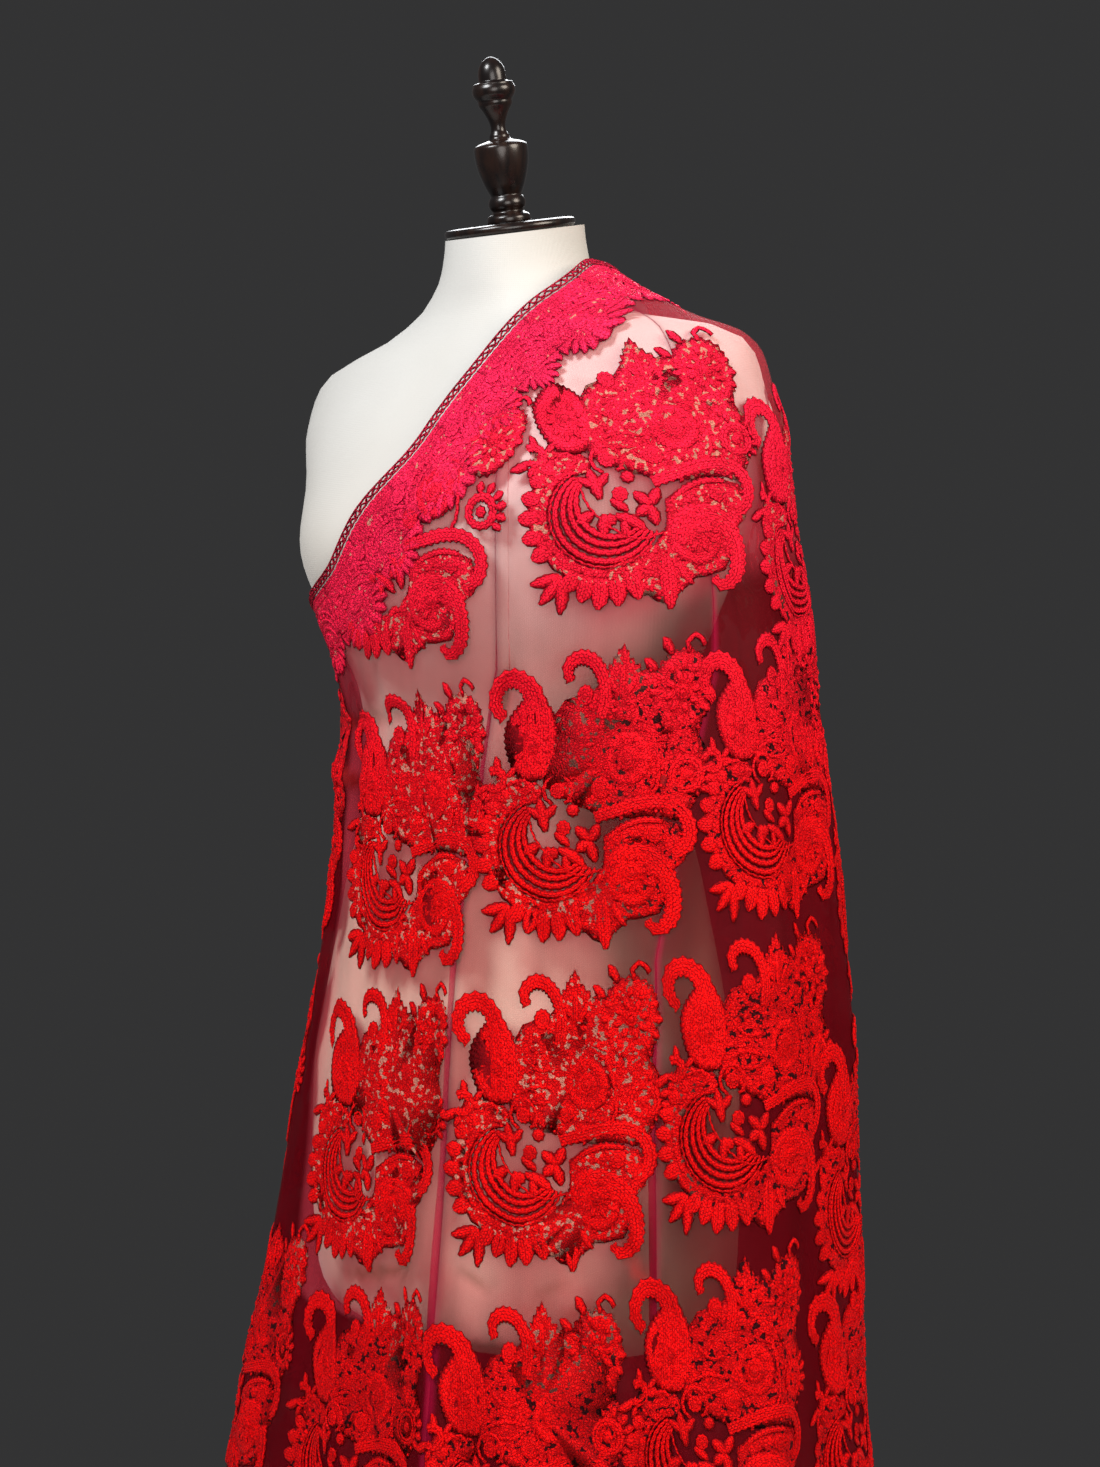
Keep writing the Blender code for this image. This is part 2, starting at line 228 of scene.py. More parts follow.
def new_material(name):
    made = bpy.data.materials.new(name)
    made.use_nodes = True
    return made, made.node_tree, made.node_tree.nodes["Principled BSDF"]


print("node helpers ready")

# %% [markdown]
# Thread shows on every cloth here, so its effects are node groups, built once and placed
# in each material with its own values. One lays small oval stitches in staggered rows,
# for embroidery that follows its own UV map. One crosses two sets of fine threads, for
# the net and for the form's jersey. One makes any colour a little uneven.


# %% Shared groups
VECTOR, NUMBER, COLOUR = "NodeSocketVector", "NodeSocketFloat", "NodeSocketColor"
GAP_FROM = 0.45


def group(name, inputs, outputs):
    tree = bpy.data.node_groups.new(name, "ShaderNodeTree")
    for label, kind in inputs:
        tree.interface.new_socket(label, in_out="INPUT", socket_type=kind)
    for label, kind in outputs:
        tree.interface.new_socket(label, in_out="OUTPUT", socket_type=kind)
    return tree, tree.nodes.new("NodeGroupInput"), tree.nodes.new("NodeGroupOutput")


def make_stitch_rows():
    taken = (("Vector", VECTOR), ("Length", NUMBER), ("Width", NUMBER))
    tree, start, end = group("stitch_rows", taken, (("Height", NUMBER), ("Gap", NUMBER)))
    parts = node(tree, "ShaderNodeSeparateXYZ", {"Vector": start.outputs["Vector"]})
    row = sums(tree, "DIVIDE", parts.outputs["Y"], start.outputs["Width"])
    stagger = sums(tree, "MULTIPLY", sums(tree, "FLOOR", row), 0.5)
    along = sums(tree, "DIVIDE", parts.outputs["X"], start.outputs["Length"])
    along = sums(tree, "ADD", along, stagger)
    from_middle = sums(tree, "SUBTRACT", sums(tree, "FRACT", along), 0.5)
    beside = sums(tree, "SUBTRACT", sums(tree, "FRACT", row), 0.5)
    far = sums(tree, "MULTIPLY", from_middle, from_middle)
    far = sums(tree, "MULTIPLY_ADD", beside, beside, far)
    height = sums(tree, "MULTIPLY_ADD", far, -4.0, 1.0)
    height = sums(tree, "MAXIMUM", height, 0.0)
    tree.links.new(height, end.inputs["Height"])
    tree.links.new(between(tree, height, GAP_FROM, 0.0), end.inputs["Gap"])
    return tree


def make_crossed_threads():
    taken = (("Vector", VECTOR), ("Pitch", NUMBER))
    tree, start, end = group("crossed_threads", taken, (("Height", NUMBER),))
    parts = node(tree, "ShaderNodeSeparateXYZ", {"Vector": start.outputs["Vector"]})
    turns = sums(tree, "DIVIDE", math.pi, start.outputs["Pitch"])
    waves = []
    for axis in ("X", "Y"):
        phase = sums(tree, "MULTIPLY", parts.outputs[axis], turns)
        waves.append(sums(tree, "ABSOLUTE", sums(tree, "SINE", phase)))
    tree.links.new(sums(tree, "MAXIMUM", *waves), end.inputs["Height"])
    return tree


def make_uneven_colour():
    taken = (("Colour", COLOUR), ("Tint", COLOUR), ("Amount", NUMBER))
    tree, start, end = group("uneven_colour", taken, (("Colour", COLOUR),))
    plain, tint, amount = start.outputs["Colour"], start.outputs["Tint"], start.outputs["Amount"]
    tinted = blend_colours(tree, 1.0, plain, tint, "MULTIPLY")
    tree.links.new(blend_colours(tree, amount, plain, tinted), end.inputs["Colour"])
    return tree


def placed(tree, shared, inputs, output):
    """One of the shared groups, placed in a material with its own values."""
    return node(tree, "ShaderNodeGroup", inputs, node_tree=shared).outputs[output]


stitch_rows = make_stitch_rows()
crossed_threads = make_crossed_threads()
uneven_colour = make_uneven_colour()
print("groups", [g.name for g in bpy.data.node_groups])

# %% [markdown]
# ## Finishes
# The embroidery is a viscose thread with a soft shine. Its colour is painted light:
# pinker near the shoulder, where the light is cool, and a darker pure scarlet lower
# down, where less light reaches. Between stitches, in the valleys of its rows and on
# the low filling it is mixed towards a painted shade.
# The same recipe serves twice. Raised shapes show rows of satin stitches, which follow
# the UV map. The low filling shows small cells instead, and spots of noise on it stand
# for its openings: they take the colour of what lies behind, pale over the form and
# nearly black elsewhere. Real openings by alpha would make the render slower.

# %% Embroidery values
STITCH_LENGTH, STITCH_WIDTH, STITCH_BUMP = 0.0028, 0.0017, 0.0009
PATCH_SCALE, FIBRE_SCALE, FILLING_SCALE = 48.0, 1100.0, 500.0
WOBBLE_SCALE, WOBBLE_REACH = 260.0, 0.0040
OPENING_SCALE, OPENING_EDGE = 230.0, 0.04
LOW_HEIGHT, TOP_HEIGHT = 1.02, 1.40
MOTTLE = (0.78, 0.6, 0.62, 1.0)
BEHIND_DARK, BEHIND_PALE = (0.030, 0.0005, 0.002, 1.0), (0.52, 0.19, 0.14, 1.0)
GROUND_CREST, CELL_EDGE = 0.36, 0.24
SATIN_RAISED, SATIN_GROUND = 0.55, 0.20
print("stitches of", STITCH_LENGTH, "by", STITCH_WIDTH, "m")


# %% Filling groups
def make_filling_cells():
    """Small cells with bent edges: nought on an edge and one inside."""
    tree, start, end = group("filling_cells", (("Vector", VECTOR),), (("Inside", NUMBER),))
    place = start.outputs["Vector"]
    wobble = noise(tree, place, WOBBLE_SCALE, 1.0, "Color")
    bent = node(tree, "ShaderNodeVectorMath", {"Vector": wobble}, operation="SCALE")
    bent.inputs["Scale"].default_value = WOBBLE_REACH
    moved = node(tree, "ShaderNodeVectorMath", operation="ADD")
    tree.links.new(place, moved.inputs[0])
    tree.links.new(bent.outputs["Vector"], moved.inputs[1])
    inputs = {"Vector": moved.outputs["Vector"], "Scale": FILLING_SCALE}
    cells = node(tree, "ShaderNodeTexVoronoi", inputs, feature="DISTANCE_TO_EDGE")
    inside = between(tree, cells.outputs["Distance"], 0.0, CELL_EDGE)
    tree.links.new(inside, end.inputs["Inside"])
    return tree


def make_painted_openings():
    """Spots where the filling is open, and the colour of what lies behind them."""
    taken = (("Vector", VECTOR), ("Near", NUMBER), ("Close", NUMBER))
    tree, start, end = group("painted_openings", taken, (("Mask", NUMBER), ("Behind", COLOUR)))
    spots = noise(tree, start.outputs["Vector"], OPENING_SCALE, 2.0)
    close = start.outputs["Close"]
    open_from = sums(tree, "ADD", close, OPENING_EDGE)
    tree.links.new(between(tree, spots, close, open_from), end.inputs["Mask"])
    behind = blend_colours(tree, start.outputs["Near"], BEHIND_DARK, BEHIND_PALE)
    tree.links.new(behind, end.inputs["Behind"])
    return tree


filling_cells = make_filling_cells()
painted_openings = make_painted_openings()
print("filling groups", filling_cells.name, painted_openings.name)


# %% Embroidery finish
def make_embroidery(name, top, low, shade, ground=0.0, close=0.57):
    """Raised satin stitches, or with ground at one the low close filling under them."""
    made, tree, shader = new_material(name)
    uv = node(tree, "ShaderNodeUVMap", uv_map="stitches").outputs["UV"]
    inputs = {"Vector": uv, "Length": STITCH_LENGTH, "Width": STITCH_WIDTH}
    gap = placed(tree, stitch_rows, inputs, "Gap")
    place = object_place(tree)
    patches = noise(tree, place, PATCH_SCALE, 4.0)
    satin = SATIN_RAISED * (1.0 - ground) + SATIN_GROUND * ground
    thread = sums(tree, "MULTIPLY", sums(tree, "SUBTRACT", 1.0, gap), satin)
    cells = placed(tree, filling_cells, {"Vector": place}, "Inside")
    thread = sums(tree, "MULTIPLY_ADD", cells, 1.0 - satin, thread)
    # Crests, stitch gaps and the low filling mix the colour towards the shade colour: painted shade in the
    # valleys and between stitches.
    crest = sums(tree, "MAXIMUM", painted(tree, "raised"), GROUND_CREST * ground)
    crest = between(tree, crest, -0.20, 0.62)
    lit = sums(tree, "MULTIPLY", between(tree, thread, -0.15, 0.60), crest)
    # From the low colour to the top colour by height: painted light, pinker and brighter high up, dimmer
    # lower down.
    lift = sums(tree, "MULTIPLY_ADD", patches, 0.10, level_of(tree, place))
    colour = blend_colours(tree, between(tree, lift, LOW_HEIGHT, TOP_HEIGHT), low, top)
    mottle = {"Colour": colour, "Tint": MOTTLE, "Amount": between(tree, patches, 0.40, 0.70)}
    colour = placed(tree, uneven_colour, mottle, "Colour")
    colour = blend_colours(tree, lit, shade, colour)
    if ground > 0.0:
        inputs = {"Vector": place, "Near": painted(tree, "near_form"), "Close": close}
        openings = node(tree, "ShaderNodeGroup", inputs, node_tree=painted_openings)
        colour = blend_colours(tree, openings.outputs["Mask"], colour, openings.outputs["Behind"])
    fibres = noise(tree, place, FIBRE_SCALE, 1.0)
    tall = sums(tree, "MULTIPLY_ADD", fibres, 0.25, thread)
    fill(tree, shader, {
        "Base Color": colour,
        "Normal": bumped(tree, tall, 1.0, STITCH_BUMP),
        "Roughness": sums(tree, "MULTIPLY_ADD", lit, -0.27, 0.75),
        "Sheen Weight": 0.03,
        "Sheen Roughness": 0.4,
        "Sheen Tint": (1.0, 0.15, 0.25, 1.0),
        "Specular IOR Level": 0.07,
    })
    return made


# Each thread: its colour high up and low down, which paint in the cooler light above
# and the dimmer light below, and its painted shade between stitches
SCARLET = (0.97, 0.012, 0.060, 1.0), (0.84, 0.0015, 0.002, 1.0), (0.200, 0.0, 0.003, 1.0)
CHERRY = (0.96, 0.020, 0.100, 1.0), (0.82, 0.006, 0.030, 1.0), (0.200, 0.0, 0.012, 1.0)
WINE = (0.58, 0.018, 0.060, 1.0), (0.44, 0.006, 0.020, 1.0), (0.06, 0.0, 0.004, 1.0)
spray_finish = make_embroidery("scarlet_embroidery", *SCARLET)
spray_ground = make_embroidery("scarlet_filling", *SCARLET, ground=1.0)
border_finish = make_embroidery("border_embroidery", *CHERRY)
border_ground = make_embroidery("border_filling", *CHERRY, ground=1.0, close=0.63)
braid_finish = make_embroidery("edge_braid", *WINE)
print("embroidery finishes", spray_finish.name, border_finish.name, braid_finish.name)

# %% [markdown]
# The net is one material with an alpha. Away from the form its threads stay deep maroon
# and cover about half of what is behind them. Close on the cream form they hide little
# and are painted rose: a painted glow of the light that the form throws back through
# them. A painted attribute says how near the form is, so the painted glow stays with the
# cloth and not with the camera. Threads modelled one by one would be far too many, so a
# weave in the UV map stands for them.

# %% Net values
THREAD_PITCH = 0.0016
STREAK_SCALE = (60.0, 7.0, 1.0)
# The rose is a painted glow of the light that the form throws back through the net; the maroon is the
# threads' own colour.
MAROON, PAINTED_ROSE_GLOW = (0.100, 0.0003, 0.0035, 1.0), (0.66, 0.050, 0.080, 1.0)
# The creased colour is painted shade in the pulled creases.
PLEATED, PAINTED_CREASE_SHADE = (0.27, 0.003, 0.028, 1.0), (0.30, 0.010, 0.012, 1.0)
STREAK = (0.8, 0.7, 0.75, 1.0)
COVER_FREE, COVER_LESS_NEAR = 0.50, 0.41
NET_SHADOW = 0.10
print("net covers", COVER_FREE, "free and", round(COVER_FREE - COVER_LESS_NEAR, 2), "on the form")


# %% Net finish
def make_net():
    made, tree, shader = new_material("sheer_red_net")
    uv = node(tree, "ShaderNodeUVMap", uv_map="cut").outputs["UV"]
    threads = placed(tree, crossed_threads, {"Vector": uv, "Pitch": THREAD_PITCH}, "Height")
    near, pleat, crease = (painted(tree, label) for label in ("near_form", "pleat", "crease"))
    streaks = noise(tree, stretched(tree, uv, STREAK_SCALE), 1.0, 4.0)
    # The rose mixed in near the form is a painted glow of light thrown back through the net.
    colour = blend_colours(tree, between(tree, near, 0.30, 1.05), MAROON, PAINTED_ROSE_GLOW)
    colour = blend_colours(tree, pleat, colour, PLEATED)
    # Creases mix towards a darker red: painted shade in the creases.
    colour = blend_colours(tree, crease, colour, PAINTED_CREASE_SHADE)
    streaked = {"Colour": colour, "Tint": STREAK, "Amount": between(tree, streaks, 0.35, 0.7)}
    colour = placed(tree, uneven_colour, streaked, "Colour")
    cover = sums(tree, "MULTIPLY_ADD", near, -COVER_LESS_NEAR, COVER_FREE)
    for more, share in ((crease, 0.12), (threads, 0.05), (streaks, 0.07), (pleat, 0.12)):
        cover = sums(tree, "MULTIPLY_ADD", more, share, cover)
    shadow = node(tree, "ShaderNodeLightPath").outputs["Is Shadow Ray"]
    thinner = sums(tree, "MULTIPLY_ADD", shadow, NET_SHADOW - 1.0, 1.0)
    fill(tree, shader, {
        "Base Color": colour,
        "Alpha": sums(tree, "MULTIPLY", cover, thinner),
        "Normal": bumped(tree, threads, 0.4, 0.0002),
        "Roughness": 0.55,
        "Sheen Weight": 0.02,
        "Sheen Roughness": 0.35,
        "Sheen Tint": (0.95, 0.06, 0.16, 1.0),
        "Specular IOR Level": 0.06,
    })
    return made


net_finish = make_net()
print("net finish", net_finish.name)

# %% [markdown]
# The form is covered in cream jersey, matte with a fine knit. The stand and finial are
# dark turned wood under a clear gloss, so the grain sits in the colour and the coat
# stays smooth.


# %% Form and wood finishes
KNIT_PITCH, KNIT_BUMP = 0.0013, 0.0002
# Lower down the cream is warmer: painted warm light on the lower form.
CREAM_LOW, CREAM_HIGH = (0.54, 0.45, 0.35, 1.0), (0.475, 0.47, 0.45, 1.0)
CREAM_FADED = (0.92, 0.91, 0.90, 1.0)
WOOD_DARK, WOOD_LIGHT = (0.0045, 0.003, 0.003, 1.0), (0.015, 0.007, 0.005, 1.0)
GRAIN_SCALE = (160.0, 160.0, 14.0)


def make_jersey():
    made, tree, shader = new_material("cream_jersey")
    place = object_place(tree)
    upright = stretched(tree, place, rotation=(1.5708, 0.0, 0.0))
    knit = placed(tree, crossed_threads, {"Vector": upright, "Pitch": KNIT_PITCH}, "Height")
    cloud = noise(tree, place, 7.0, 3.0)
    fluff = noise(tree, place, 700.0, 2.0)
    # Blended towards the warmer low cream lower down: painted warm light.
    high = between(tree, level_of(tree, place), 0.95, 1.33)
    cream = blend_colours(tree, high, CREAM_LOW, CREAM_HIGH)
    faded = {"Colour": cream, "Tint": CREAM_FADED, "Amount": between(tree, cloud, 0.3, 0.7)}
    colour = placed(tree, uneven_colour, faded, "Colour")
    tall = sums(tree, "MULTIPLY_ADD", fluff, 0.8, knit)
    fill(tree, shader, {
        "Base Color": colour,
        "Normal": bumped(tree, tall, 0.35, KNIT_BUMP),
        "Roughness": between(tree, fluff, -0.6, 1.2),
        "Sheen Weight": 0.15,
        "Specular IOR Level": 0.25,
    })
    return made


def make_wood():
    made, tree, shader = new_material("dark_turned_wood")
    place = object_place(tree)
    lines = noise(tree, stretched(tree, place, GRAIN_SCALE), 1.0, 6.0)
    marks = noise(tree, place, 55.0, 3.0)
    fill(tree, shader, {
        "Base Color": blend_colours(tree, between(tree, lines, 0.35, 0.7), WOOD_DARK, WOOD_LIGHT),
        "Normal": bumped(tree, lines, 0.15, 0.0002),
        "Roughness": sums(tree, "MULTIPLY_ADD", marks, 0.22, 0.16),
        "Coat Weight": 0.15,
        "Coat Roughness": 0.15,
        "Specular IOR Level": 0.3,
    })
    return made


def make_floor_paint():
    made, tree, shader = new_material("pale_floor_paint")
    cloud = noise(tree, object_place(tree), 3.0, 2.0)
    colour = blend_colours(tree, cloud, (0.62, 0.62, 0.61, 1.0), (0.66, 0.66, 0.65, 1.0))
    fill(tree, shader, {"Base Color": colour, "Roughness": 0.7})
    return made


jersey_finish = make_jersey()
wood_finish = make_wood()
floor.data.materials.append(make_floor_paint())
print("finishes", len(bpy.data.materials))

# %% [markdown]
# ## The form's sections and the cloth's
# A dress form is carved level by level, and so is this one: each row says how wide and
# deep it is at a height. The cloth hangs from rows of the same kind, and its folds are
# a short table too. A sculpted or simulated cloth would look as good, but only with
# tables can the net, its embroidery and the form behind it all be worked out from one
# another. They are the frame's own sizes, so what is made here sits on the solids.

# %% Section tables
FORM_SECTIONS = (
    # height, half width, depth to the front, depth to the back
    (0.668, 0.136, 0.098, 0.103),
    (0.676, 0.150, 0.110, 0.115),
    (0.695, 0.158, 0.117, 0.122),
    (0.760, 0.161, 0.123, 0.124),
    (0.830, 0.160, 0.121, 0.125),
    (0.900, 0.148, 0.110, 0.117),
    (0.970, 0.133, 0.101, 0.107),
    (1.050, 0.115, 0.089, 0.098),
    (1.100, 0.119, 0.099, 0.106),
    (1.150, 0.141, 0.124, 0.115),
    (1.200, 0.162, 0.137, 0.114),
    (1.245, 0.166, 0.118, 0.108),
    (1.285, 0.176, 0.093, 0.099),
    (1.310, 0.172, 0.078, 0.087),
    (1.326, 0.158, 0.071, 0.079),
    (1.345, 0.104, 0.064, 0.067),
    (1.365, 0.069, 0.059, 0.054),
    (1.385, 0.053, 0.059, 0.042),
    (1.412, 0.047, 0.059, 0.035),
)
CLOTH_SECTIONS = (
    # height, reach to the form's right, to its left, to the front, to the back
    (0.170, 0.2860, 0.2620, 0.222, 0.236),
    (0.300, 0.2650, 0.2590, 0.203, 0.218),
    (0.420, 0.2460, 0.2560, 0.185, 0.200),
    (0.520, 0.2330, 0.2520, 0.177, 0.194),
    (0.620, 0.2120, 0.2480, 0.166, 0.187),
    (0.700, 0.1880, 0.2430, 0.155, 0.177),
    (0.773, 0.1730, 0.2420, 0.145, 0.167),
    (0.843, 0.1620, 0.2415, 0.135, 0.157),
    (0.905, 0.1480, 0.2400, 0.128, 0.148),
    (0.970, 0.1380, 0.2340, 0.122, 0.139),
    (1.040, 0.1320, 0.2260, 0.120, 0.131),
    (1.080, 0.1210, 0.2200, 0.122, 0.127),
    (1.120, 0.1270, 0.2150, 0.130, 0.125),
    (1.163, 0.1450, 0.2110, 0.139, 0.124),
    (1.220, 0.1680, 0.2030, 0.142, 0.117),
    (1.274, 0.1750, 0.1980, 0.116, 0.114),
    (1.300, 0.1780, 0.1900, 0.098, 0.104),
    (1.325, 0.1640, 0.1830, 0.083, 0.092),
    (1.338, 0.1350, 0.1710, 0.078, 0.084),
    (1.352, 0.1040, 0.1350, 0.074, 0.076),
    (1.375, 0.0740, 0.0880, 0.070, 0.062),
    (1.396, 0.0580, 0.0560, 0.066, 0.045),
)
TOP_EDGE = (
    # angle round the form, height of the cloth's top edge
    (-150.0, 1.163),
    (-118.0, 1.184),
    (-105.0, 1.217),
    (-91.0, 1.256),
    (-81.0, 1.300),
    (-64.0, 1.338),
    (-45.0, 1.364),
    (-10.0, 1.390),
    (22.0, 1.388),
    (52.0, 1.352),
    (84.0, 1.300),
    (112.0, 1.240),
    (140.0, 1.185),
    (172.0, 1.160),
)
FOLD_HEIGHTS = (0.420, 0.940, 1.120)
FOLDS = (
    # name, angle at the chest, at the waist and at the hem, where it starts, depth, half width
    ("front pleat", -61.0, -73.0, -76.0, 1.150, 0.0085, 0.017),
    ("soft centre trough", -43.0, -44.0, -46.0, 1.170, -0.0075, 0.022),
    ("left hip crease", -18.0, -28.0, -32.0, 1.040, -0.0090, 0.018),
    ("side flute", -12.0, -15.0, -14.0, 1.200, 0.0050, 0.018),
    ("side trough", 0.0, -3.0, -2.0, 1.260, -0.0060, 0.018),
    ("outer side flute", 10.0, 11.0, 14.0, 1.280, 0.0055, 0.020),
    ("turned side trough", 30.0, 30.0, 32.0, 1.240, -0.0080, 0.024),
    ("back end flute", 52.0, 54.0, 57.0, 1.200, 0.0060, 0.024),
    ("back trough", 84.0, 86.0, 88.0, 1.180, -0.0070, 0.026),
    ("back flute", 106.0, 107.0, 110.0, 1.140, 0.0085, 0.026),
    ("back right trough", 130.0, 131.0, 134.0, 1.110, -0.0065, 0.026),
    ("under arm flute", 158.0, 156.0, 158.0, 1.100, 0.0070, 0.024),
    ("waist tuck", -162.0, -166.0, -170.0, 1.130, -0.0060, 0.018),
    ("right hip flute", -141.0, -138.0, -140.0, 1.030, 0.0060, 0.020),
    ("right front trough", -116.0, -112.0, -110.0, 1.000, -0.0065, 0.022),
    ("front left trough", -92.0, -93.0, -94.0, 0.900, -0.0060, 0.020),
)
CLOTH_WALL = 0.0012
DUPATTA_WIDTH = 0.980
LOWEST_HEM = 0.120
CLEAR_OF_FORM = 0.0016
SEAT_ON_SHOULDER = 0.0006
LAP_LIFT = 0.0065
LAP_STARTS, LAP_RISES = 394.0, 8.0
SEATED_FROM, SEATED_TO = 1.300, 1.330
print("rows", len(FORM_SECTIONS), len(CLOTH_SECTIONS), "folds", len(FOLDS))

# %% [markdown]
# A smooth curve runs through each column of a table without overshooting, and four
# quarter ellipses join into one section. On these two ideas rest the form, the net and
# all that is sewn on it.


# %% Shape functions
def smooth_curve(xs, ys, at):
    steps = np.diff(xs)
    slopes = np.diff(ys) / steps
    tangents = np.zeros_like(ys)
    same_way = slopes[:-1] * slopes[1:] > 0.0
    total = np.where(same_way, slopes[:-1] + slopes[1:], 1.0)
    tangents[1:-1] = np.where(same_way, 2.0 * slopes[:-1] * slopes[1:] / total, 0.0)
    tangents[0] = slopes[0]
    tangents[-1] = slopes[-1]
    at = np.clip(at, xs[0], xs[-1])
    k = np.clip(np.searchsorted(xs, at) - 1, 0, len(steps) - 1)
    t = (at - xs[k]) / steps[k]
    rise = ys[k] * (1.0 + 2.0 * t) * (1.0 - t) ** 2
    rise += ys[k + 1] * t * t * (3.0 - 2.0 * t)
    rise += steps[k] * tangents[k] * t * (1.0 - t) ** 2
    rise -= steps[k] * tangents[k + 1] * t * t * (1.0 - t)
    return rise


def smooth_step(low, high, at):
    t = np.clip((at - low) / (high - low), 0.0, 1.0)
    return t * t * (3.0 - 2.0 * t)


def turned(angle):
    return (angle + 180.0) % 360.0 - 180.0


def quarter_ellipses(angle, right, left, front, back):
    along = np.cos(np.radians(angle))
    across = np.sin(np.radians(angle))
    side = np.where(along > 0.0, left, right)
    deep = np.where(across > 0.0, back, front)
    return 1.0 / np.sqrt((along / side) ** 2 + (across / deep) ** 2)


FORM_TABLE = np.array(FORM_SECTIONS)
CLOTH_TABLE = np.array(CLOTH_SECTIONS)
TOP_TABLE = np.array([(a + lap, z) for lap in (-360.0, 0.0, 360.0) for a, z in TOP_EDGE])


def form_reach(angle, height):
    half, front, back = (
        smooth_curve(FORM_TABLE[:, 0], FORM_TABLE[:, k], height) for k in (1, 2, 3)
    )
    return quarter_ellipses(angle, half, half, front, back)


def top_height(angle):
    return smooth_curve(TOP_TABLE[:, 0], TOP_TABLE[:, 1], turned(angle))


def fold_relief(angle, height, reach):
    out = np.zeros(np.broadcast(angle, height).shape)
    for _, chest, waist, hem, start, depth, half_width in FOLDS:
        centre = np.interp(height, FOLD_HEIGHTS, (hem, waist, chest))
        along = np.radians(turned(angle - centre)) * reach / half_width
        grown = smooth_step(start, start - 0.22, height)
        grown = grown * (0.75 + 0.6 * smooth_step(0.95, 0.45, height))
        out += depth * grown * np.exp(-along * along)
    return out


print("form half width at the chest", round(float(form_reach(0.0, np.array(1.2))), 3))

# %% [markdown]
# The largest folds are in the solids. The net also has what only thin cloth shows:
# sharp pulled creases, each placed one by one from the photo with its own length and
# depth, and soft random drape where it hangs free of the form.

# %% Creases and drape
CREASES = (
    # from angle, height, to angle, height, depth, half width
    (-27.5, 1.322, -66.0, 1.254, -0.0016, 0.0032),
    (-57.0, 1.132, -60.5, 1.085, -0.0022, 0.0045),
    (-72.0, 0.742, -59.5, 0.728, -0.0025, 0.0040),
    (-36.0, 0.772, -31.0, 0.732, -0.0030, 0.0045),
    (-107.0, 0.720, -82.0, 0.733, -0.0030, 0.0050),
    (-56.0, 0.716, -44.0, 0.742, -0.0020, 0.0045),
    (-52.0, 0.700, -40.0, 0.728, 0.0018, 0.0050),
    (-150.0, 1.075, -84.0, 1.094, -0.0030, 0.0070),
    (-158.0, 1.050, -100.0, 1.040, 0.0028, 0.0080),
    (-24.0, 1.150, -30.0, 0.950, 0.0022, 0.0050),
    (-8.0, 1.290, 6.0, 1.120, -0.0026, 0.0060),
    (16.0, 1.300, 22.0, 1.080, 0.0026, 0.0060),
    (60.0, 1.250, 120.0, 1.090, -0.0024, 0.0060),
    (96.0, 1.060, 150.0, 1.040, 0.0024, 0.0070),
    (70.0, 0.760, 104.0, 0.730, -0.0026, 0.0055),
    (124.0, 0.750, 160.0, 0.728, 0.0022, 0.0055),
    (170.0, 0.980, 200.0, 0.930, -0.0024, 0.0060),
)
DRAPE_WAVES = (
    # waves round the form, waves a metre down, phase, height of the wave
    (23.0, 3.1, 0.4, 0.0009),
    (31.0, -4.3, 1.9, 0.0007),
    (47.0, 5.2, 3.3, 0.0005),
    (13.0, 7.1, 5.1, 0.0007),
)


def crease_relief(angle, height, reach):
    out = np.zeros(np.broadcast(angle, height).shape)
    for from_angle, from_height, to_angle, to_height, depth, half_width in CREASES:
        across = np.radians(turned(angle - from_angle)) * reach
        up = height - from_height
        run = math.radians(to_angle - from_angle) * reach
        rise = to_height - from_height
        share = np.clip((across * run + up * rise) / (run * run + rise * rise), 0.0, 1.0)
        far = np.hypot(across - share * run, up - share * rise) / half_width
        out += depth * np.exp(-far * far) * (0.35 + 2.6 * share * (1.0 - share))
    return out


def drape_relief(angle, height):
    turn = np.radians(angle)
    out = np.zeros(np.broadcast(angle, height).shape)
    for round_it, down, phase, size in DRAPE_WAVES:
        out += size * np.sin(round_it * turn + 2.0 * math.pi * down * height + phase)
    return out * smooth_step(1.26, 1.05, height)


# Where the cloth comes down on the form, the two are blended over this much
CONTACT_BLEND = 0.002
SLOPE_STEP = 0.002
FREE_GAP = 0.012


def form_slope(angle, height, step):
    above, below = form_reach(angle, height + step), form_reach(angle, height - step)
    return (above - below) / (2.0 * step)


def net_reach(angle, height):
    """How far the net's outer face stands from the form's axis."""
    right, left, front, back = (
        smooth_curve(CLOTH_TABLE[:, 0], CLOTH_TABLE[:, k], height) for k in (1, 2, 3, 4)
    )
    reach = quarter_ellipses(angle, right, left, front, back)
    reach = reach + fold_relief(angle, height, reach)
    seated = smooth_step(SEATED_FROM, SEATED_TO, height)
    clear = CLEAR_OF_FORM + (SEAT_ON_SHOULDER - CLEAR_OF_FORM) * seated
    steep = np.sqrt(1.0 + form_slope(angle, height, SLOPE_STEP) ** 2)
    least = form_reach(angle, height) + (CLOTH_WALL + clear) * steep
    least = np.where(height < FORM_SECTIONS[2][0], 0.0, least)
    reach = 0.5 * (reach + least + np.sqrt((reach - least) ** 2 + CONTACT_BLEND**2))
    fine = crease_relief(angle, height, reach) + drape_relief(angle, height)
    room = smooth_step(0.0, FREE_GAP, reach - least)
    fine = np.where(fine < 0.0, fine * room, fine)
    return reach + fine + LAP_LIFT * smooth_step(LAP_STARTS, LAP_STARTS + LAP_RISES, angle)


def net_point(angle, height):
    reach = net_reach(angle, height)
    turn = np.radians(angle)
    return np.stack([reach * np.cos(turn), reach * np.sin(turn), height], axis=-1)


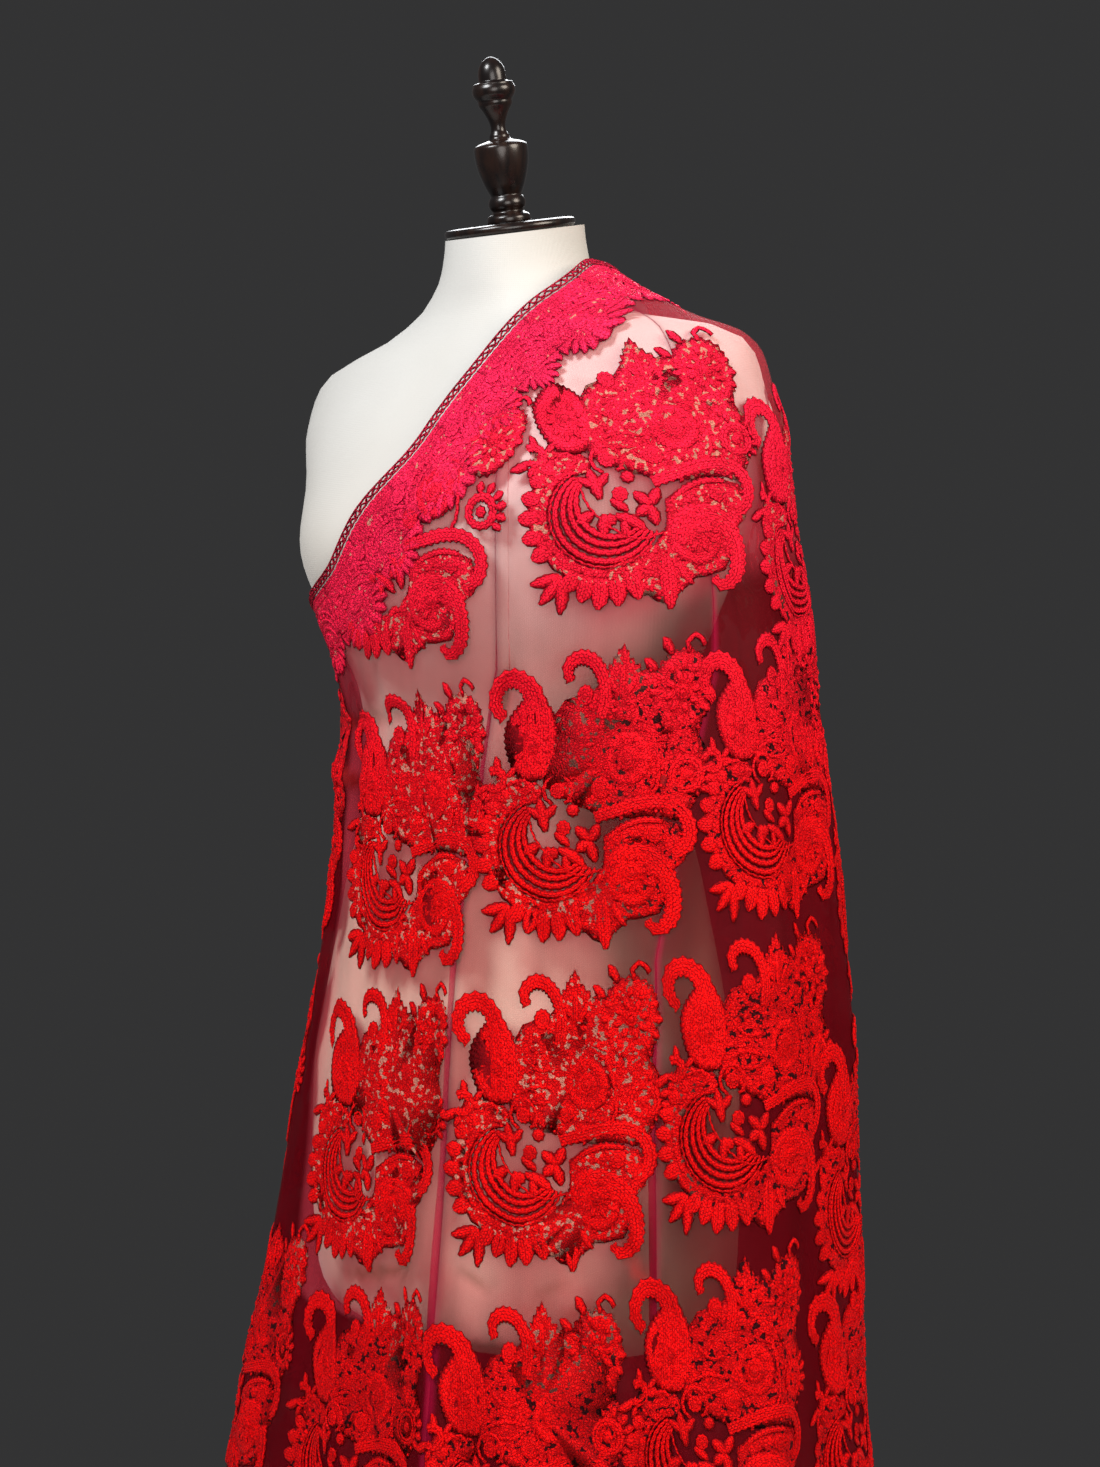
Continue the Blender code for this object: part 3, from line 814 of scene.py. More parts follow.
def net_normal(angle, height, nudge=0.15, rise=0.0008):
    across = net_point(angle + nudge, height) - net_point(angle - nudge, height)
    up = net_point(angle, height + rise) - net_point(angle, height - rise)
    normal = np.cross(across, up)
    return normal / np.linalg.norm(normal, axis=-1, keepdims=True)


print("creases", len(CREASES), "side reach", round(float(net_reach(0.0, np.array(0.9))), 3))

# %% [markdown]
# ## Meshes from arrays
# The net and its embroidery have many thousands of points, worked out as arrays. This
# helper turns an array of points and triangles into a mesh, with a UV map for each
# point, and asks the frame to carry it.


# %% Mesh helper
def carried(obj, finish):
    obj.data.materials.clear()
    obj.data.materials.append(finish)
    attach(obj, "root")
    return obj


def mesh_from_arrays(name, points, triangles, uv=None, uv_name="stitches"):
    mesh = bpy.data.meshes.new(name)
    mesh.vertices.add(len(points))
    mesh.vertices.foreach_set("co", np.ascontiguousarray(points, np.float32).ravel())
    corners = np.ascontiguousarray(triangles, np.int32).ravel()
    mesh.loops.add(len(corners))
    mesh.loops.foreach_set("vertex_index", corners)
    mesh.polygons.add(len(triangles))
    mesh.polygons.foreach_set("loop_start", np.arange(0, len(corners), 3, dtype=np.int32))
    mesh.polygons.foreach_set("use_smooth", np.ones(len(triangles), bool))
    if uv is not None:
        layer = mesh.uv_layers.new(name=uv_name)
        layer.data.foreach_set("uv", np.ascontiguousarray(uv[corners], np.float32).ravel())
    mesh.update()
    mesh.validate()
    made = bpy.data.objects.new(name, mesh)
    bpy.context.scene.collection.objects.link(made)
    return made


print("mesh helper ready")

# %% [markdown]
# ## The form
# A real form is a moulded shell, padded and covered with jersey. This one starts as a
# ring at its lower edge. The ring is extruded upwards level by level, and each level is
# then drawn out to its section, which gives the same smooth shape as the solid. Near the
# neck the levels tip forward, as the neck's end does in the photo. A pad under the cloth
# squares the left shoulder, where pale jersey shows right out to the cloth, and the neck
# stands a few millimetres higher than the solid's.

# %% Torso
FORM_SIDES = 96
FORM_LEVELS = 84
NECK_TOP = 1.417
NECK_TILT = math.radians(12.0)
NECK_FORWARD, NECK_BENDS = 0.012, 1.372
FIRST_LEVELS = (0.0, 0.003, 0.008)
PAD_AT_SIDE, PAD_ON_TOP, PAD_CLEAR = 0.014, 0.05, 0.006
WIDE_STEP = 0.006
# The gap counts as wider where nothing pale shows, and as closed on the shoulder
GAP_BELOW_FORM, GAP_ON_SHOULDER, GAP_UNDER_ARM = 0.2, -0.06, 0.050
UNDER_ARM_ANGLE = 197.0
# The net's painted glow is full within the first distance of the form and gone past the second
GLOW_WITHIN, GLOW_ENDS = 0.025, 0.064


def padded_reach(angle, height):
    """The form's section, with the left shoulder padded out towards the cloth on it."""
    bare = form_reach(angle, height)
    most = PAD_AT_SIDE + PAD_ON_TOP * smooth_step(1.295, 1.325, height)
    room = np.clip(net_reach(angle, height) - bare - PAD_CLEAR, 0.0, most)
    side = smooth_step(78.0, 48.0, np.abs(turned(angle)))
    level = smooth_step(1.17, 1.26, height) * smooth_step(1.362, 1.340, height)
    return bare + room * side * level


def near_form(angle, height):
    """One where the form lies close behind the cloth, nought where nothing pale does."""
    gap = net_reach(angle, height) - padded_reach(angle, height)
    gap = gap / np.sqrt(1.0 + form_slope(angle, height, WIDE_STEP) ** 2)
    gap = gap + GAP_BELOW_FORM * smooth_step(0.70, 0.655, height)
    gap = gap + GAP_ON_SHOULDER * smooth_step(1.23, 1.31, height)
    off_arm = np.abs(turned(angle - UNDER_ARM_ANGLE))
    gap = gap + GAP_UNDER_ARM * smooth_step(46.0, 22.0, off_arm)
    return 1.0 - smooth_step(GLOW_WITHIN, GLOW_ENDS, gap)


def make_torso():
    low, second, third = (FORM_SECTIONS[0][0] + up for up in FIRST_LEVELS)
    levels = np.concatenate([[low, second], np.linspace(third, NECK_TOP, FORM_LEVELS - 2)])
    nothing_selected()
    bpy.ops.mesh.primitive_circle_add(
        vertices=FORM_SIDES, radius=0.1, fill_type="NGON", location=(0.0, 0.0, low)
    )
    torso = bpy.context.object
    torso.name = "form_cover"
    bpy.ops.object.transform_apply(location=True)
    bpy.ops.object.mode_set(mode="EDIT")
    bpy.ops.mesh.select_all(action="SELECT")
    for below, above in zip(levels, levels[1:]):
        bpy.ops.mesh.extrude_region_move(TRANSFORM_OT_translate={"value": (0.0, 0.0, above - below)})
    bpy.ops.object.mode_set(mode="OBJECT")
    spots = np.array([point.co for point in torso.data.vertices])
    turn, level = np.arctan2(spots[:, 1], spots[:, 0]), spots[:, 2]
    reach = padded_reach(np.degrees(turn), level)
    deep = reach * np.sin(turn)
    lifted = level + deep * math.tan(NECK_TILT) * smooth_step(NECK_BENDS, NECK_TOP, level)
    drawn_out = np.stack([reach * np.cos(turn), deep, lifted], axis=1)
    torso.data.vertices.foreach_set("co", drawn_out.ravel())
    bpy.ops.object.mode_set(mode="EDIT")
    bpy.ops.mesh.select_all(action="SELECT")
    bpy.ops.mesh.normals_make_consistent(inside=False)
    bpy.ops.object.mode_set(mode="OBJECT")
    bpy.ops.object.shade_smooth_by_angle(angle=math.radians(45.0))
    return carried(torso, jersey_finish)


form_cover = make_torso()
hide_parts("form_torso")
print("torso faces", len(form_cover.data.polygons))

# %% [markdown]
# ## Turned wood
# A lathe cuts a profile, so each wooden piece is a circle extruded along its axis and
# scaled at every step. Cutting the profile's corners twice rounds its beads and coves
# the way sanding does.


# %% Turning helper
def sanded(profile, times=2):
    points = [Vector(p) for p in profile]
    for _ in range(times):
        softer = [points[0]]
        for first, second in zip(points, points[1:]):
            softer += [first.lerp(second, 0.25), first.lerp(second, 0.75)]
        points = softer + [points[-1]]
    return points


def turn_piece(name, profile, sides, placing=None):
    cuts = sanded(profile)
    nothing_selected()
    bpy.ops.mesh.primitive_circle_add(
        vertices=sides, radius=cuts[0].x, fill_type="NGON", location=(0.0, 0.0, cuts[0].y)
    )
    piece = bpy.context.object
    piece.name = name
    bpy.ops.object.transform_apply(location=True)
    bpy.ops.object.mode_set(mode="EDIT")
    bpy.ops.mesh.select_all(action="SELECT")
    for before, after in zip(cuts, cuts[1:]):
        bpy.ops.mesh.extrude_region_move(
            TRANSFORM_OT_translate={"value": (0.0, 0.0, after.y - before.y)}
        )
        wider = after.x / before.x
        bpy.ops.transform.resize(value=(wider, wider, 1.0), center_override=(0.0, 0.0, after.y))
    bpy.ops.mesh.select_all(action="SELECT")
    bpy.ops.mesh.normals_make_consistent(inside=False)
    bpy.ops.object.mode_set(mode="OBJECT")
    if placing is not None:
        piece.data.transform(placing)
    bpy.ops.object.shade_smooth_by_angle(angle=math.radians(50.0))
    return carried(piece, wood_finish)


print("turning helper ready")

# %% [markdown]
# The finial has a foot, a ring, an urn with a flat shoulder, a thin neck, a collar and an
# acorn, all turned from one block. It stands on a thin round plate that closes the neck,
# and both lean forward with it. Their profiles follow the photo more closely than the
# solids do.

# %% Finial and neck plate
PLATE_RADIUS, PLATE_HEIGHT, SEAT = 0.0450, 0.0065, 0.0003
PLATE_PROFILE = (
    (0.0410, 0.0), (0.0438, 0.0004), (PLATE_RADIUS, 0.0018), (PLATE_RADIUS, 0.0040),
    (0.0440, 0.0056), (0.0415, 0.0062), (0.0370, PLATE_HEIGHT), (0.0180, PLATE_HEIGHT),
)
FINIAL_PROFILE = (
    # radius, height: foot, ring, urn, neck, collar and acorn
    (0.0145, 0.0), (0.0152, 0.0011), (0.0150, 0.0046), (0.0112, 0.0064), (0.0104, 0.0080),
    (0.0122, 0.0098), (0.0131, 0.0126), (0.0122, 0.0160), (0.0104, 0.0181), (0.0112, 0.0195),
    (0.0134, 0.0240), (0.0151, 0.0286), (0.0169, 0.0344), (0.0180, 0.0401), (0.0185, 0.0458),
    (0.0184, 0.0497), (0.0176, 0.0515), (0.0130, 0.0534), (0.0085, 0.0543), (0.0070, 0.0561),
    (0.0068, 0.0579), (0.0054, 0.0602), (0.0051, 0.0630), (0.0056, 0.0664), (0.0076, 0.0710),
    (0.0095, 0.0744), (0.0112, 0.0767), (0.0118, 0.0785), (0.0116, 0.0804), (0.0128, 0.0818),
    (0.0143, 0.0840), (0.0148, 0.0863), (0.0146, 0.0886), (0.0136, 0.0905), (0.0136, 0.0918),
    (0.0096, 0.0925), (0.0096, 0.0946), (0.0094, 0.0985), (0.0084, 0.1024), (0.0062, 0.1056),
    (0.0034, 0.1079), (0.0006, 0.1088),
)


def neck_placing(up):
    lean = math.tan(NECK_TILT)
    seat = SEAT * math.sqrt(1.0 + lean * lean)
    foot = Matrix.Translation((0.0, -NECK_FORWARD, NECK_TOP - NECK_FORWARD * lean + seat))
    return foot @ Matrix.Rotation(NECK_TILT, 4, "X") @ Matrix.Translation((0.0, 0.0, up))


top_plate = turn_piece("top_plate", PLATE_PROFILE, 96, neck_placing(0.0))
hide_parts("neck_plate")
acorn_finial = turn_piece("acorn_finial", FINIAL_PROFILE, 72, neck_placing(PLATE_HEIGHT + SEAT))
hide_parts("finial")
print("finial faces", len(acorn_finial.data.polygons))

# %% [markdown]
# The photo stops above the stand, so its pole and base are finished plainly, turned
# from the same dark wood as the finial.

# %% Pole and base
POLE_FOOT, POLE_TOP, BASE_HEIGHT = 0.0483, 0.6677, 0.048
POLE_PROFILE = (
    (0.0190, POLE_FOOT), (0.0222, 0.0490), (0.0224, 0.0570), (0.0195, 0.0620), (0.0172, 0.0640),
    (0.0185, 0.0670), (0.0160, 0.0710), (0.0139, 0.0800), (0.0135, 0.0900), (0.0135, 0.6100),
    (0.0140, 0.6240), (0.0175, 0.6390), (0.0250, 0.6500), (0.0335, 0.6560), (0.0340, 0.6590),
    (0.0340, POLE_TOP - 0.0005), (0.0330, POLE_TOP),
)
BASE_PROFILE = (
    (0.1660, 0.0), (0.1710, 0.0006), (0.1720, 0.0040), (0.1720, 0.0130), (0.1690, 0.0170),
    (0.1655, 0.0180), (0.1640, 0.0200), (0.1600, 0.0222), (0.1500, 0.0240), (0.1100, 0.0272),
    (0.0640, 0.0330), (0.0450, 0.0385), (0.0420, 0.0420), (0.0390, 0.0430), (0.0365, 0.0460),
    (0.0340, BASE_HEIGHT), (0.0240, BASE_HEIGHT),
)
turned_pole = turn_piece("turned_pole", POLE_PROFILE, 48)
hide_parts("stand_pole")
turned_base = turn_piece("turned_base", BASE_PROFILE, 128)
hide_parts("stand_base")
print("stand pieces", turned_pole.name, turned_base.name)

# %% [markdown]
# ## The net
# The dupatta is one length of net. It starts at the back, goes round under the right
# arm and across the front, over the left shoulder and round to lap over its own start,
# so its columns run from 44 to 436 degrees. Down each column the rows keep even
# distances on the cloth, so that the hem lies the dupatta's width below the top edge.
#
# A pleat is a real Z fold: the columns go on, come back underneath and go on again,
# and the fold's line wanders with its angle at the chest, waist and hem. A cloth
# simulation would pleat by chance, and these three are where the photo shows them.

# %% Net columns
NET_FROM, NET_TO, NET_STEP = 44.0, 436.0, 1.7
NET_ROWS = 150
NET_WALL = 0.0004
PLEATS = (
    # angle at the chest, at the waist, at the hem, where it starts, width
    (299.0, 287.0, 284.0, 1.165, 0.0065),
    (342.0, 332.0, 328.0, 0.965, 0.0035),
    (106.0, 107.0, 110.0, 1.120, 0.014),
)
PLEAT_LAYER, PLEAT_REACH, PLEAT_SETTLES = 0.0008, 18.0, 4.0
# How far back under itself each column of a pleat lies, as shares of the pleat's width
PLEAT_STEPS = (0.06, 0.35, 0.65, 0.94)
PLEAT_BACK_STEPS = (1.0, 0.65, 0.35, 0.06)
PLEAT_SKIP = 0.4
PLEAT_AT_TOP, PLEAT_OPENS = 0.06, 0.16
METRES_A_RADIAN = 0.17
NET_UNDER = 0.0003
COLUMN_POINTS = 420


def column_heights(angle, lengths):
    fine = np.linspace(float(top_height(angle)), LOWEST_HEM, COLUMN_POINTS)
    reach = net_reach(np.full(fine.shape, float(angle)), fine)
    run = np.concatenate([[0.0], np.cumsum(np.hypot(np.diff(reach), np.diff(fine)))])
    return np.interp(lengths, run, fine)


def net_columns():
    """For each column: its angle, which pleat it is in, how far back it lies, its depth."""
    columns = [(angle, -1, 0.0, 0.0) for angle in np.arange(NET_FROM, NET_TO + 0.01, NET_STEP)]
    for k, (_, waist, _, _, _) in enumerate(PLEATS):
        before = [c for c in columns if c[0] < waist]
        after = [c for c in columns if c[0] > waist + PLEAT_SKIP]
        turn_back = [(waist, k, share, 1.0) for share in PLEAT_STEPS]
        turn_on = [(waist, k, share, 2.0) for share in PLEAT_BACK_STEPS]
        columns = before + [(waist, k, 0.0, 0.0)] + turn_back + turn_on + after
    return columns


print("net columns", len(net_columns()), "pleats", len(PLEATS))


# %% Net grid
def net_grid():
    lengths = np.linspace(0.0, DUPATTA_WIDTH, NET_ROWS)
    columns = net_columns()
    angles = np.zeros((NET_ROWS, len(columns)))
    heights = np.zeros_like(angles)
    sunk = np.zeros_like(angles)
    for c, (angle, _, _, _) in enumerate(columns):
        heights[:, c] = column_heights(angle, lengths)
        angles[:, c] = angle
    for k, (chest, waist, hem, start, width) in enumerate(PLEATS):
        line = np.interp(heights, FOLD_HEIGHTS, (hem, waist, chest))
        apart = np.array([c[0] for c in columns]) - waist
        near = 0.5 + 0.5 * np.cos(math.pi * np.clip(apart / PLEAT_REACH, -1.0, 1.0))
        angles += (line - waist) * near
        opened = smooth_step(start, start - PLEAT_OPENS, heights)
        grown = PLEAT_AT_TOP + (1.0 - PLEAT_AT_TOP) * opened
        mine = np.array([c[1] == k for c in columns])
        back = np.array([c[2] for c in columns]) * mine
        angles -= np.degrees(width * grown * back / METRES_A_RADIAN)
        deep = np.array([c[3] for c in columns]) * mine
        past = (apart > 0.0) & ~mine
        deep = deep + np.where(past, 2.0 * np.exp(-apart / PLEAT_SETTLES), 0.0)
        sunk += deep * PLEAT_LAYER * grown
    return angles, heights, sunk, lengths, columns


print("net rows", NET_ROWS, "over", DUPATTA_WIDTH, "m of cloth")


# %% Net piece
def paint(made, label, values):
    layer = made.data.attributes.new(label, "FLOAT", "POINT")
    layer.data.foreach_set("value", np.ascontiguousarray(values, np.float32).ravel())


def make_net_piece():
    angles, heights, sunk, lengths, columns = net_grid()
    normals = net_normal(angles, heights)
    points = net_point(angles, heights) - normals * (sunk + NET_UNDER)[..., None]
    rows, count = angles.shape
    index = np.arange(rows * count).reshape(rows, count)
    a, b = index[:-1, :-1], index[1:, :-1]
    c, d = index[1:, 1:], index[:-1, 1:]
    first = np.stack([a, b, c], axis=-1).reshape(-1, 3)
    second = np.stack([a, c, d], axis=-1).reshape(-1, 3)
    triangles = np.concatenate([first, second])
    step = np.linalg.norm(np.diff(points, axis=1), axis=-1).mean(axis=0)
    across = np.concatenate([[0.0], np.cumsum(step)])
    uv = np.stack(np.broadcast_arrays(across[None, :], -lengths[:, None]), axis=-1).reshape(-1, 2)
    net = mesh_from_arrays("dupatta_net", points.reshape(-1, 3), triangles, uv, "cut")
    pulled = np.abs(crease_relief(angles, heights, net_reach(angles, heights)))
    # Nearness to the form sets the net's painted rose glow and thins its cover.
    paint(net, "near_form", near_form(angles, heights))
    paint(net, "pleat", np.broadcast_to([c[1] >= 0 for c in columns], angles.shape))
    # A mask of the pulled creases, which paints shade into them and thickens the net's cover.
    paint(net, "crease", smooth_step(0.0005, 0.0024, pulled))
    nothing_selected()
    bpy.context.view_layer.objects.active = net
    net.select_set(True)
    wall = net.modifiers.new("wall", "SOLIDIFY")
    wall.thickness = NET_WALL
    wall.offset = -1.0
    bpy.ops.object.modifier_apply(modifier="wall")
    carried(net, net_finish)
    return net, float(across[-1])


dupatta_net, net_length = make_net_piece()
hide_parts("front_drape", "side_fall", "back_drape")
print("net faces", len(dupatta_net.data.polygons), "length round", round(net_length, 3))

# %% [markdown]
# ## Laying flat work on the cloth
# Embroidery is worked flat, so its motifs are drawn flat too, in metres across and up.
# To lay a motif on the draped net, its height is measured down the column through its
# middle and its width round the cloth, both on the surface, and what stands above the
# cloth goes out along its normal.

# %% Distances on the cloth
GRID_TURN, GRID_RISE = 0.5, 0.008
GRID_ANGLES = np.arange(34.0, 446.01, GRID_TURN)
GRID_HEIGHTS = np.arange(LOWEST_HEM, 1.4001, GRID_RISE)
LAY_FROM, LAY_POINTS, LAY_ROUNDS = 1.396, 500, 5


def ring_lengths():
    reach = net_reach(GRID_ANGLES[None, :], GRID_HEIGHTS[:, None])
    change = np.gradient(reach, np.radians(GRID_ANGLES), axis=1)
    steps = np.hypot(reach, change)[:, :-1] * np.radians(GRID_TURN)
    return np.concatenate([np.zeros((len(GRID_HEIGHTS), 1)), np.cumsum(steps, axis=1)], axis=1)


RING_LENGTHS = ring_lengths()


def from_grid(grid, rows, columns):
    """Reads a grid between its points, at row and column numbers that aren't whole."""
    rows = np.clip(rows, 0.0, grid.shape[0] - 1.001)
    columns = np.clip(columns, 0.0, grid.shape[1] - 1.001)
    r, c = rows.astype(int), columns.astype(int)
    u, v = rows - r, columns - c
    low = grid[r, c] * (1.0 - v) + grid[r, c + 1] * v
    high = grid[r + 1, c] * (1.0 - v) + grid[r + 1, c + 1] * v
    return low * (1.0 - u) + high * u


def ring_length(angle, height):
    rows = (height - GRID_HEIGHTS[0]) / GRID_RISE
    return from_grid(RING_LENGTHS, rows, (angle - GRID_ANGLES[0]) / GRID_TURN)


def lay_on_net(flat, angle, height):
    """The angle and height on the net of flat points round a middle."""
    fine = np.linspace(LAY_FROM, LOWEST_HEM, LAY_POINTS)
    reach = net_reach(np.full(fine.shape, angle), fine)
    run = np.concatenate([[0.0], np.cumsum(np.hypot(np.diff(reach), np.diff(fine)))])
    middle = np.interp(height, fine[::-1], run[::-1])
    heights = np.interp(middle - flat[:, 1], run, fine)
    angles = np.full(len(flat), float(angle))
    start = ring_length(angles, heights)
    for _ in range(LAY_ROUNDS):
        here = ring_length(angles, heights)
        rate = (ring_length(angles + GRID_TURN, heights) - here) / GRID_TURN
        angles = angles + (flat[:, 0] - (here - start)) / np.maximum(rate, 1e-4)
        angles = np.clip(angles, GRID_ANGLES[0] + 1.0, GRID_ANGLES[-1] - 2.0)
    return angles, heights


print("ring at the hip", round(float(ring_length(np.array(436.0), np.array(0.8))), 3), "m")

# %% [markdown]
# ## Stitched shapes
# All of the embroidery is built from a few shapes: a band of stitch rows that follows a
# line and can swell and taper, a patch whose rows follow its own outline, and from
# these two a rosette, a leaf and a stem. Each is a closed low mound, ridged along its
# rows, with the toothed edge that satin stitches leave. A relief by displacement would
# need far more points to be as sharp. A low patch of close filling is marked as ground,
# and takes the finish with the painted openings.

# %% Stitched work and lines
MILLIMETRE = 0.001
TOOTH_STEP = 0.00175
EMBROIDERY_LIFT = 0.00005
VALLEY = 0.30
# Each point: x, y, height, run along the stitches, distance beside them, raised, ground
POINT_COLUMNS = 7


def new_work():
    return {"points": [], "faces": [], "patch": [], "size": 0, "patches": 0}


def add_patch(work, points, faces):
    work["points"].append(points.reshape(-1, POINT_COLUMNS))
    work["faces"].append(faces + work["size"])
    work["patch"].append(np.full(len(faces), work["patches"]))
    work["size"] += len(work["points"][-1])
    work["patches"] += 1


def curve_between(marks, values, at):
    slopes = np.gradient(values, marks)
    k = np.clip(np.searchsorted(marks, at) - 1, 0, len(marks) - 2)
    step = marks[k + 1] - marks[k]
    t = (at - marks[k]) / step
    rise = values[k] * (1.0 + 2.0 * t) * (1.0 - t) ** 2 + values[k + 1] * t * t * (3.0 - 2.0 * t)
    return rise + step * (slopes[k] * t * (1.0 - t) ** 2 - slopes[k + 1] * t * t * (1.0 - t))


def run_of(points):
    steps = np.linalg.norm(np.diff(points, axis=0), axis=1)
    return np.concatenate([[0.0], np.cumsum(steps)])


def line_through(points, spacing, closed=False):
    """A smooth line through millimetre points, with even steps, and how far along each lies."""
    points = np.array(points, float) * MILLIMETRE
    if closed:
        points = np.concatenate([points[-2:], points, points[:3]])
    smooth = points
    if len(points) > 2:
        marks = run_of(points)
        low, high = (marks[2], marks[-3]) if closed else (0.0, marks[-1])
        fine = np.linspace(low, high, 12 * len(points))
        smooth = np.stack([curve_between(marks, points[:, k], fine) for k in (0, 1)], axis=1)
    run = run_of(smooth)
    steps = max(3, int(round(run[-1] / spacing)))
    if closed:
        steps += steps % 2
    even = np.linspace(0.0, run[-1], steps + 1)
    return np.stack([np.interp(even, run, smooth[:, k]) for k in (0, 1)], axis=1), even


print("stitch rows swell every", TOOTH_STEP, "m")

# %% Band
ROUNDED_END, END_HEIGHT = 0.0015, 0.35


def ridge_rows(count):
    """How raised each row of points is: nought at the edge, then crest and valley in turn."""
    raised = np.where(np.arange(count) % 2 == 1, 1.0, VALLEY)
    raised[0] = 0.0
    return raised


def band(work, line, left, right, height=1.0, ridges=2, teeth=0.5, spacing=TOOTH_STEP, ground=0.0):
    """Stitch rows along a line of millimetre points, as wide as left and right say."""
    centre, along = line_through(line, spacing)
    share = along / along[-1]
    left = np.interp(share, np.linspace(0.0, 1.0, len(left)), left) * MILLIMETRE
    right = np.interp(share, np.linspace(0.0, 1.0, len(right)), right) * MILLIMETRE
    tooth = np.where(np.arange(len(centre)) % 2 == 0, teeth, -teeth) * MILLIMETRE
    left, right = left + tooth, right + np.roll(tooth, 1)
    way = np.gradient(centre, axis=0)
    way /= np.maximum(np.linalg.norm(way, axis=1, keepdims=True), 1e-9)
    side = np.stack([-way[:, 1], way[:, 0]], axis=1)
    count = 2 * ridges + 1
    across = np.linspace(-1.0, 1.0, count)
    raised = ridge_rows(count)
    raised[-1] = 0.0
    from_end = np.minimum(share, 1.0 - share) * along[-1]
    taper = np.clip(from_end / ROUNDED_END, END_HEIGHT, 1.0)
    spots = np.linspace(-1.0, 1.0, max(0, ridges - 2) + 2)[1:-1]
    places = np.concatenate([across, spots])
    reach = np.where(places[None, :] > 0.0, left[:, None], right[:, None]) * places[None, :]
    flat = centre[:, None, :] + side[:, None, :] * reach[..., None]
    crest = np.concatenate([raised, np.zeros(len(spots))])[None, :] * taper[:, None]
    run = np.broadcast_to(along[:, None], reach.shape)
    mark = np.full(reach.shape, ground)
    rest = np.stack([crest * height * MILLIMETRE, run, reach, crest, mark], axis=-1)
    total = count + len(spots)
    ring = list(range(count)) + list(range(total - 1, count - 1, -1))
    base = np.arange(len(centre) - 1)[:, None] * total
    faces = []
    for p, q in zip(ring, ring[1:] + ring[:1]):
        faces.append(np.concatenate([base + p, base + p + total, base + q], axis=1))
        faces.append(np.concatenate([base + q, base + p + total, base + q + total], axis=1))
    end = (len(centre) - 1) * total
    for k in range(1, len(ring) - 1):
        faces.append(np.array([[ring[0], ring[k], ring[k + 1]]]))
        faces.append(np.array([[end + ring[0], end + ring[k + 1], end + ring[k]]]))
    add_patch(work, np.concatenate([flat, rest], axis=-1), np.concatenate(faces))


print("shape: band")


# %% Patch
def patch(work, outline, middle, rings=3, height=1.0, teeth=0.5, spacing=TOOTH_STEP, ground=0.0):
    """A filled shape whose stitch rows follow its outline, given in millimetres."""
    edge, along = line_through(outline, spacing, closed=True)
    edge, along = edge[:-1], along[:-1]
    middle = np.array(middle) * MILLIMETRE
    out = edge - middle
    far = np.linalg.norm(out, axis=1, keepdims=True)
    tooth = np.where(np.arange(len(edge)) % 2 == 0, teeth, -teeth) * MILLIMETRE
    out = out * (1.0 + tooth[:, None] / far)
    shares = np.linspace(1.0, 0.0, 2 * rings + 1)[:-1]
    raised = np.broadcast_to(ridge_rows(len(shares))[:, None], (len(shares), len(edge)))
    flat = middle + shares[:, None, None] * out[None, :, :]
    run = np.broadcast_to(along[None, :] * 0.75, raised.shape)
    reach = shares[:, None] * far[None, :, 0]
    mark = np.full(raised.shape, ground)
    rest = np.stack([raised * height * MILLIMETRE, run, reach, raised, mark], axis=-1)
    points = np.concatenate([flat, rest], axis=-1).reshape(-1, POINT_COLUMNS)
    top = [*middle, height * 1.05 * MILLIMETRE, 0.0, 0.0, 1.0, ground]
    low = [*middle, 0.0, 0.0, 0.0, 0.0, ground]
    sides = len(edge)
    here = np.arange(sides)
    after = (here + 1) % sides
    faces = []
    for ring in range(len(shares) - 1):
        outer, inner = ring * sides, (ring + 1) * sides
        faces.append(np.stack([outer + here, outer + after, inner + after], axis=1))
        faces.append(np.stack([outer + here, inner + after, inner + here], axis=1))
    last = (len(shares) - 1) * sides
    peak, foot = len(shares) * sides, len(shares) * sides + 1
    faces.append(np.stack([last + here, last + after, np.full(sides, peak)], axis=1))
    faces.append(np.stack([after, here, np.full(sides, foot)], axis=1))
    add_patch(work, np.concatenate([points, [top, low]]), np.concatenate(faces))


print("shape: patch")


# %% Rosette, leaf and stem
def polar(middle, reach, degrees):
    turn = math.radians(degrees)
    return (middle[0] + reach * math.cos(turn), middle[1] + reach * math.sin(turn))


def arc(middle, reach, start, stop, count=14):
    return [polar(middle, reach, start + (stop - start) * k / (count - 1)) for k in range(count)]


def rosette(work, middle, radius, rings=3, height=1.0, lobes=0, ground=0.0):
    """A round patch, with lobes round its edge where a number is given."""
    count = max(12, 4 * lobes)
    swell = [1.06 if lobes and k % 4 < 2 else (0.92 if lobes else 1.0) for k in range(count)]
    outline = [polar(middle, radius * swell[k], 360.0 * k / count) for k in range(count)]
    patch(work, outline, middle, rings, height, 0.35, TOOTH_STEP, ground)


def leaf(work, foot, tip, half_width, height=1.2, bend=0.0):
    """A petal or leaf from its foot to its tip, in millimetres."""
    foot, tip = np.array(foot, float), np.array(tip, float)
    run = tip - foot
    middle = foot + 0.5 * run + np.array([-run[1], run[0]]) * bend
    widths = [0.35 * half_width, 0.85 * half_width, half_width, 0.8 * half_width, 0.25 * half_width]
    ridges = 2 if half_width > 4.8 else 1
    band(work, [foot, middle, tip], widths, widths, height, ridges, 0.25, TOOTH_STEP * 1.5)


def stem(work, line, half_width=1.0, height=1.5):
    """A single line of chain stitch, whose links swell and narrow."""
    band(work, line, [half_width] * 2, [half_width] * 2, height, 1, 0.3, TOOTH_STEP * 1.7)


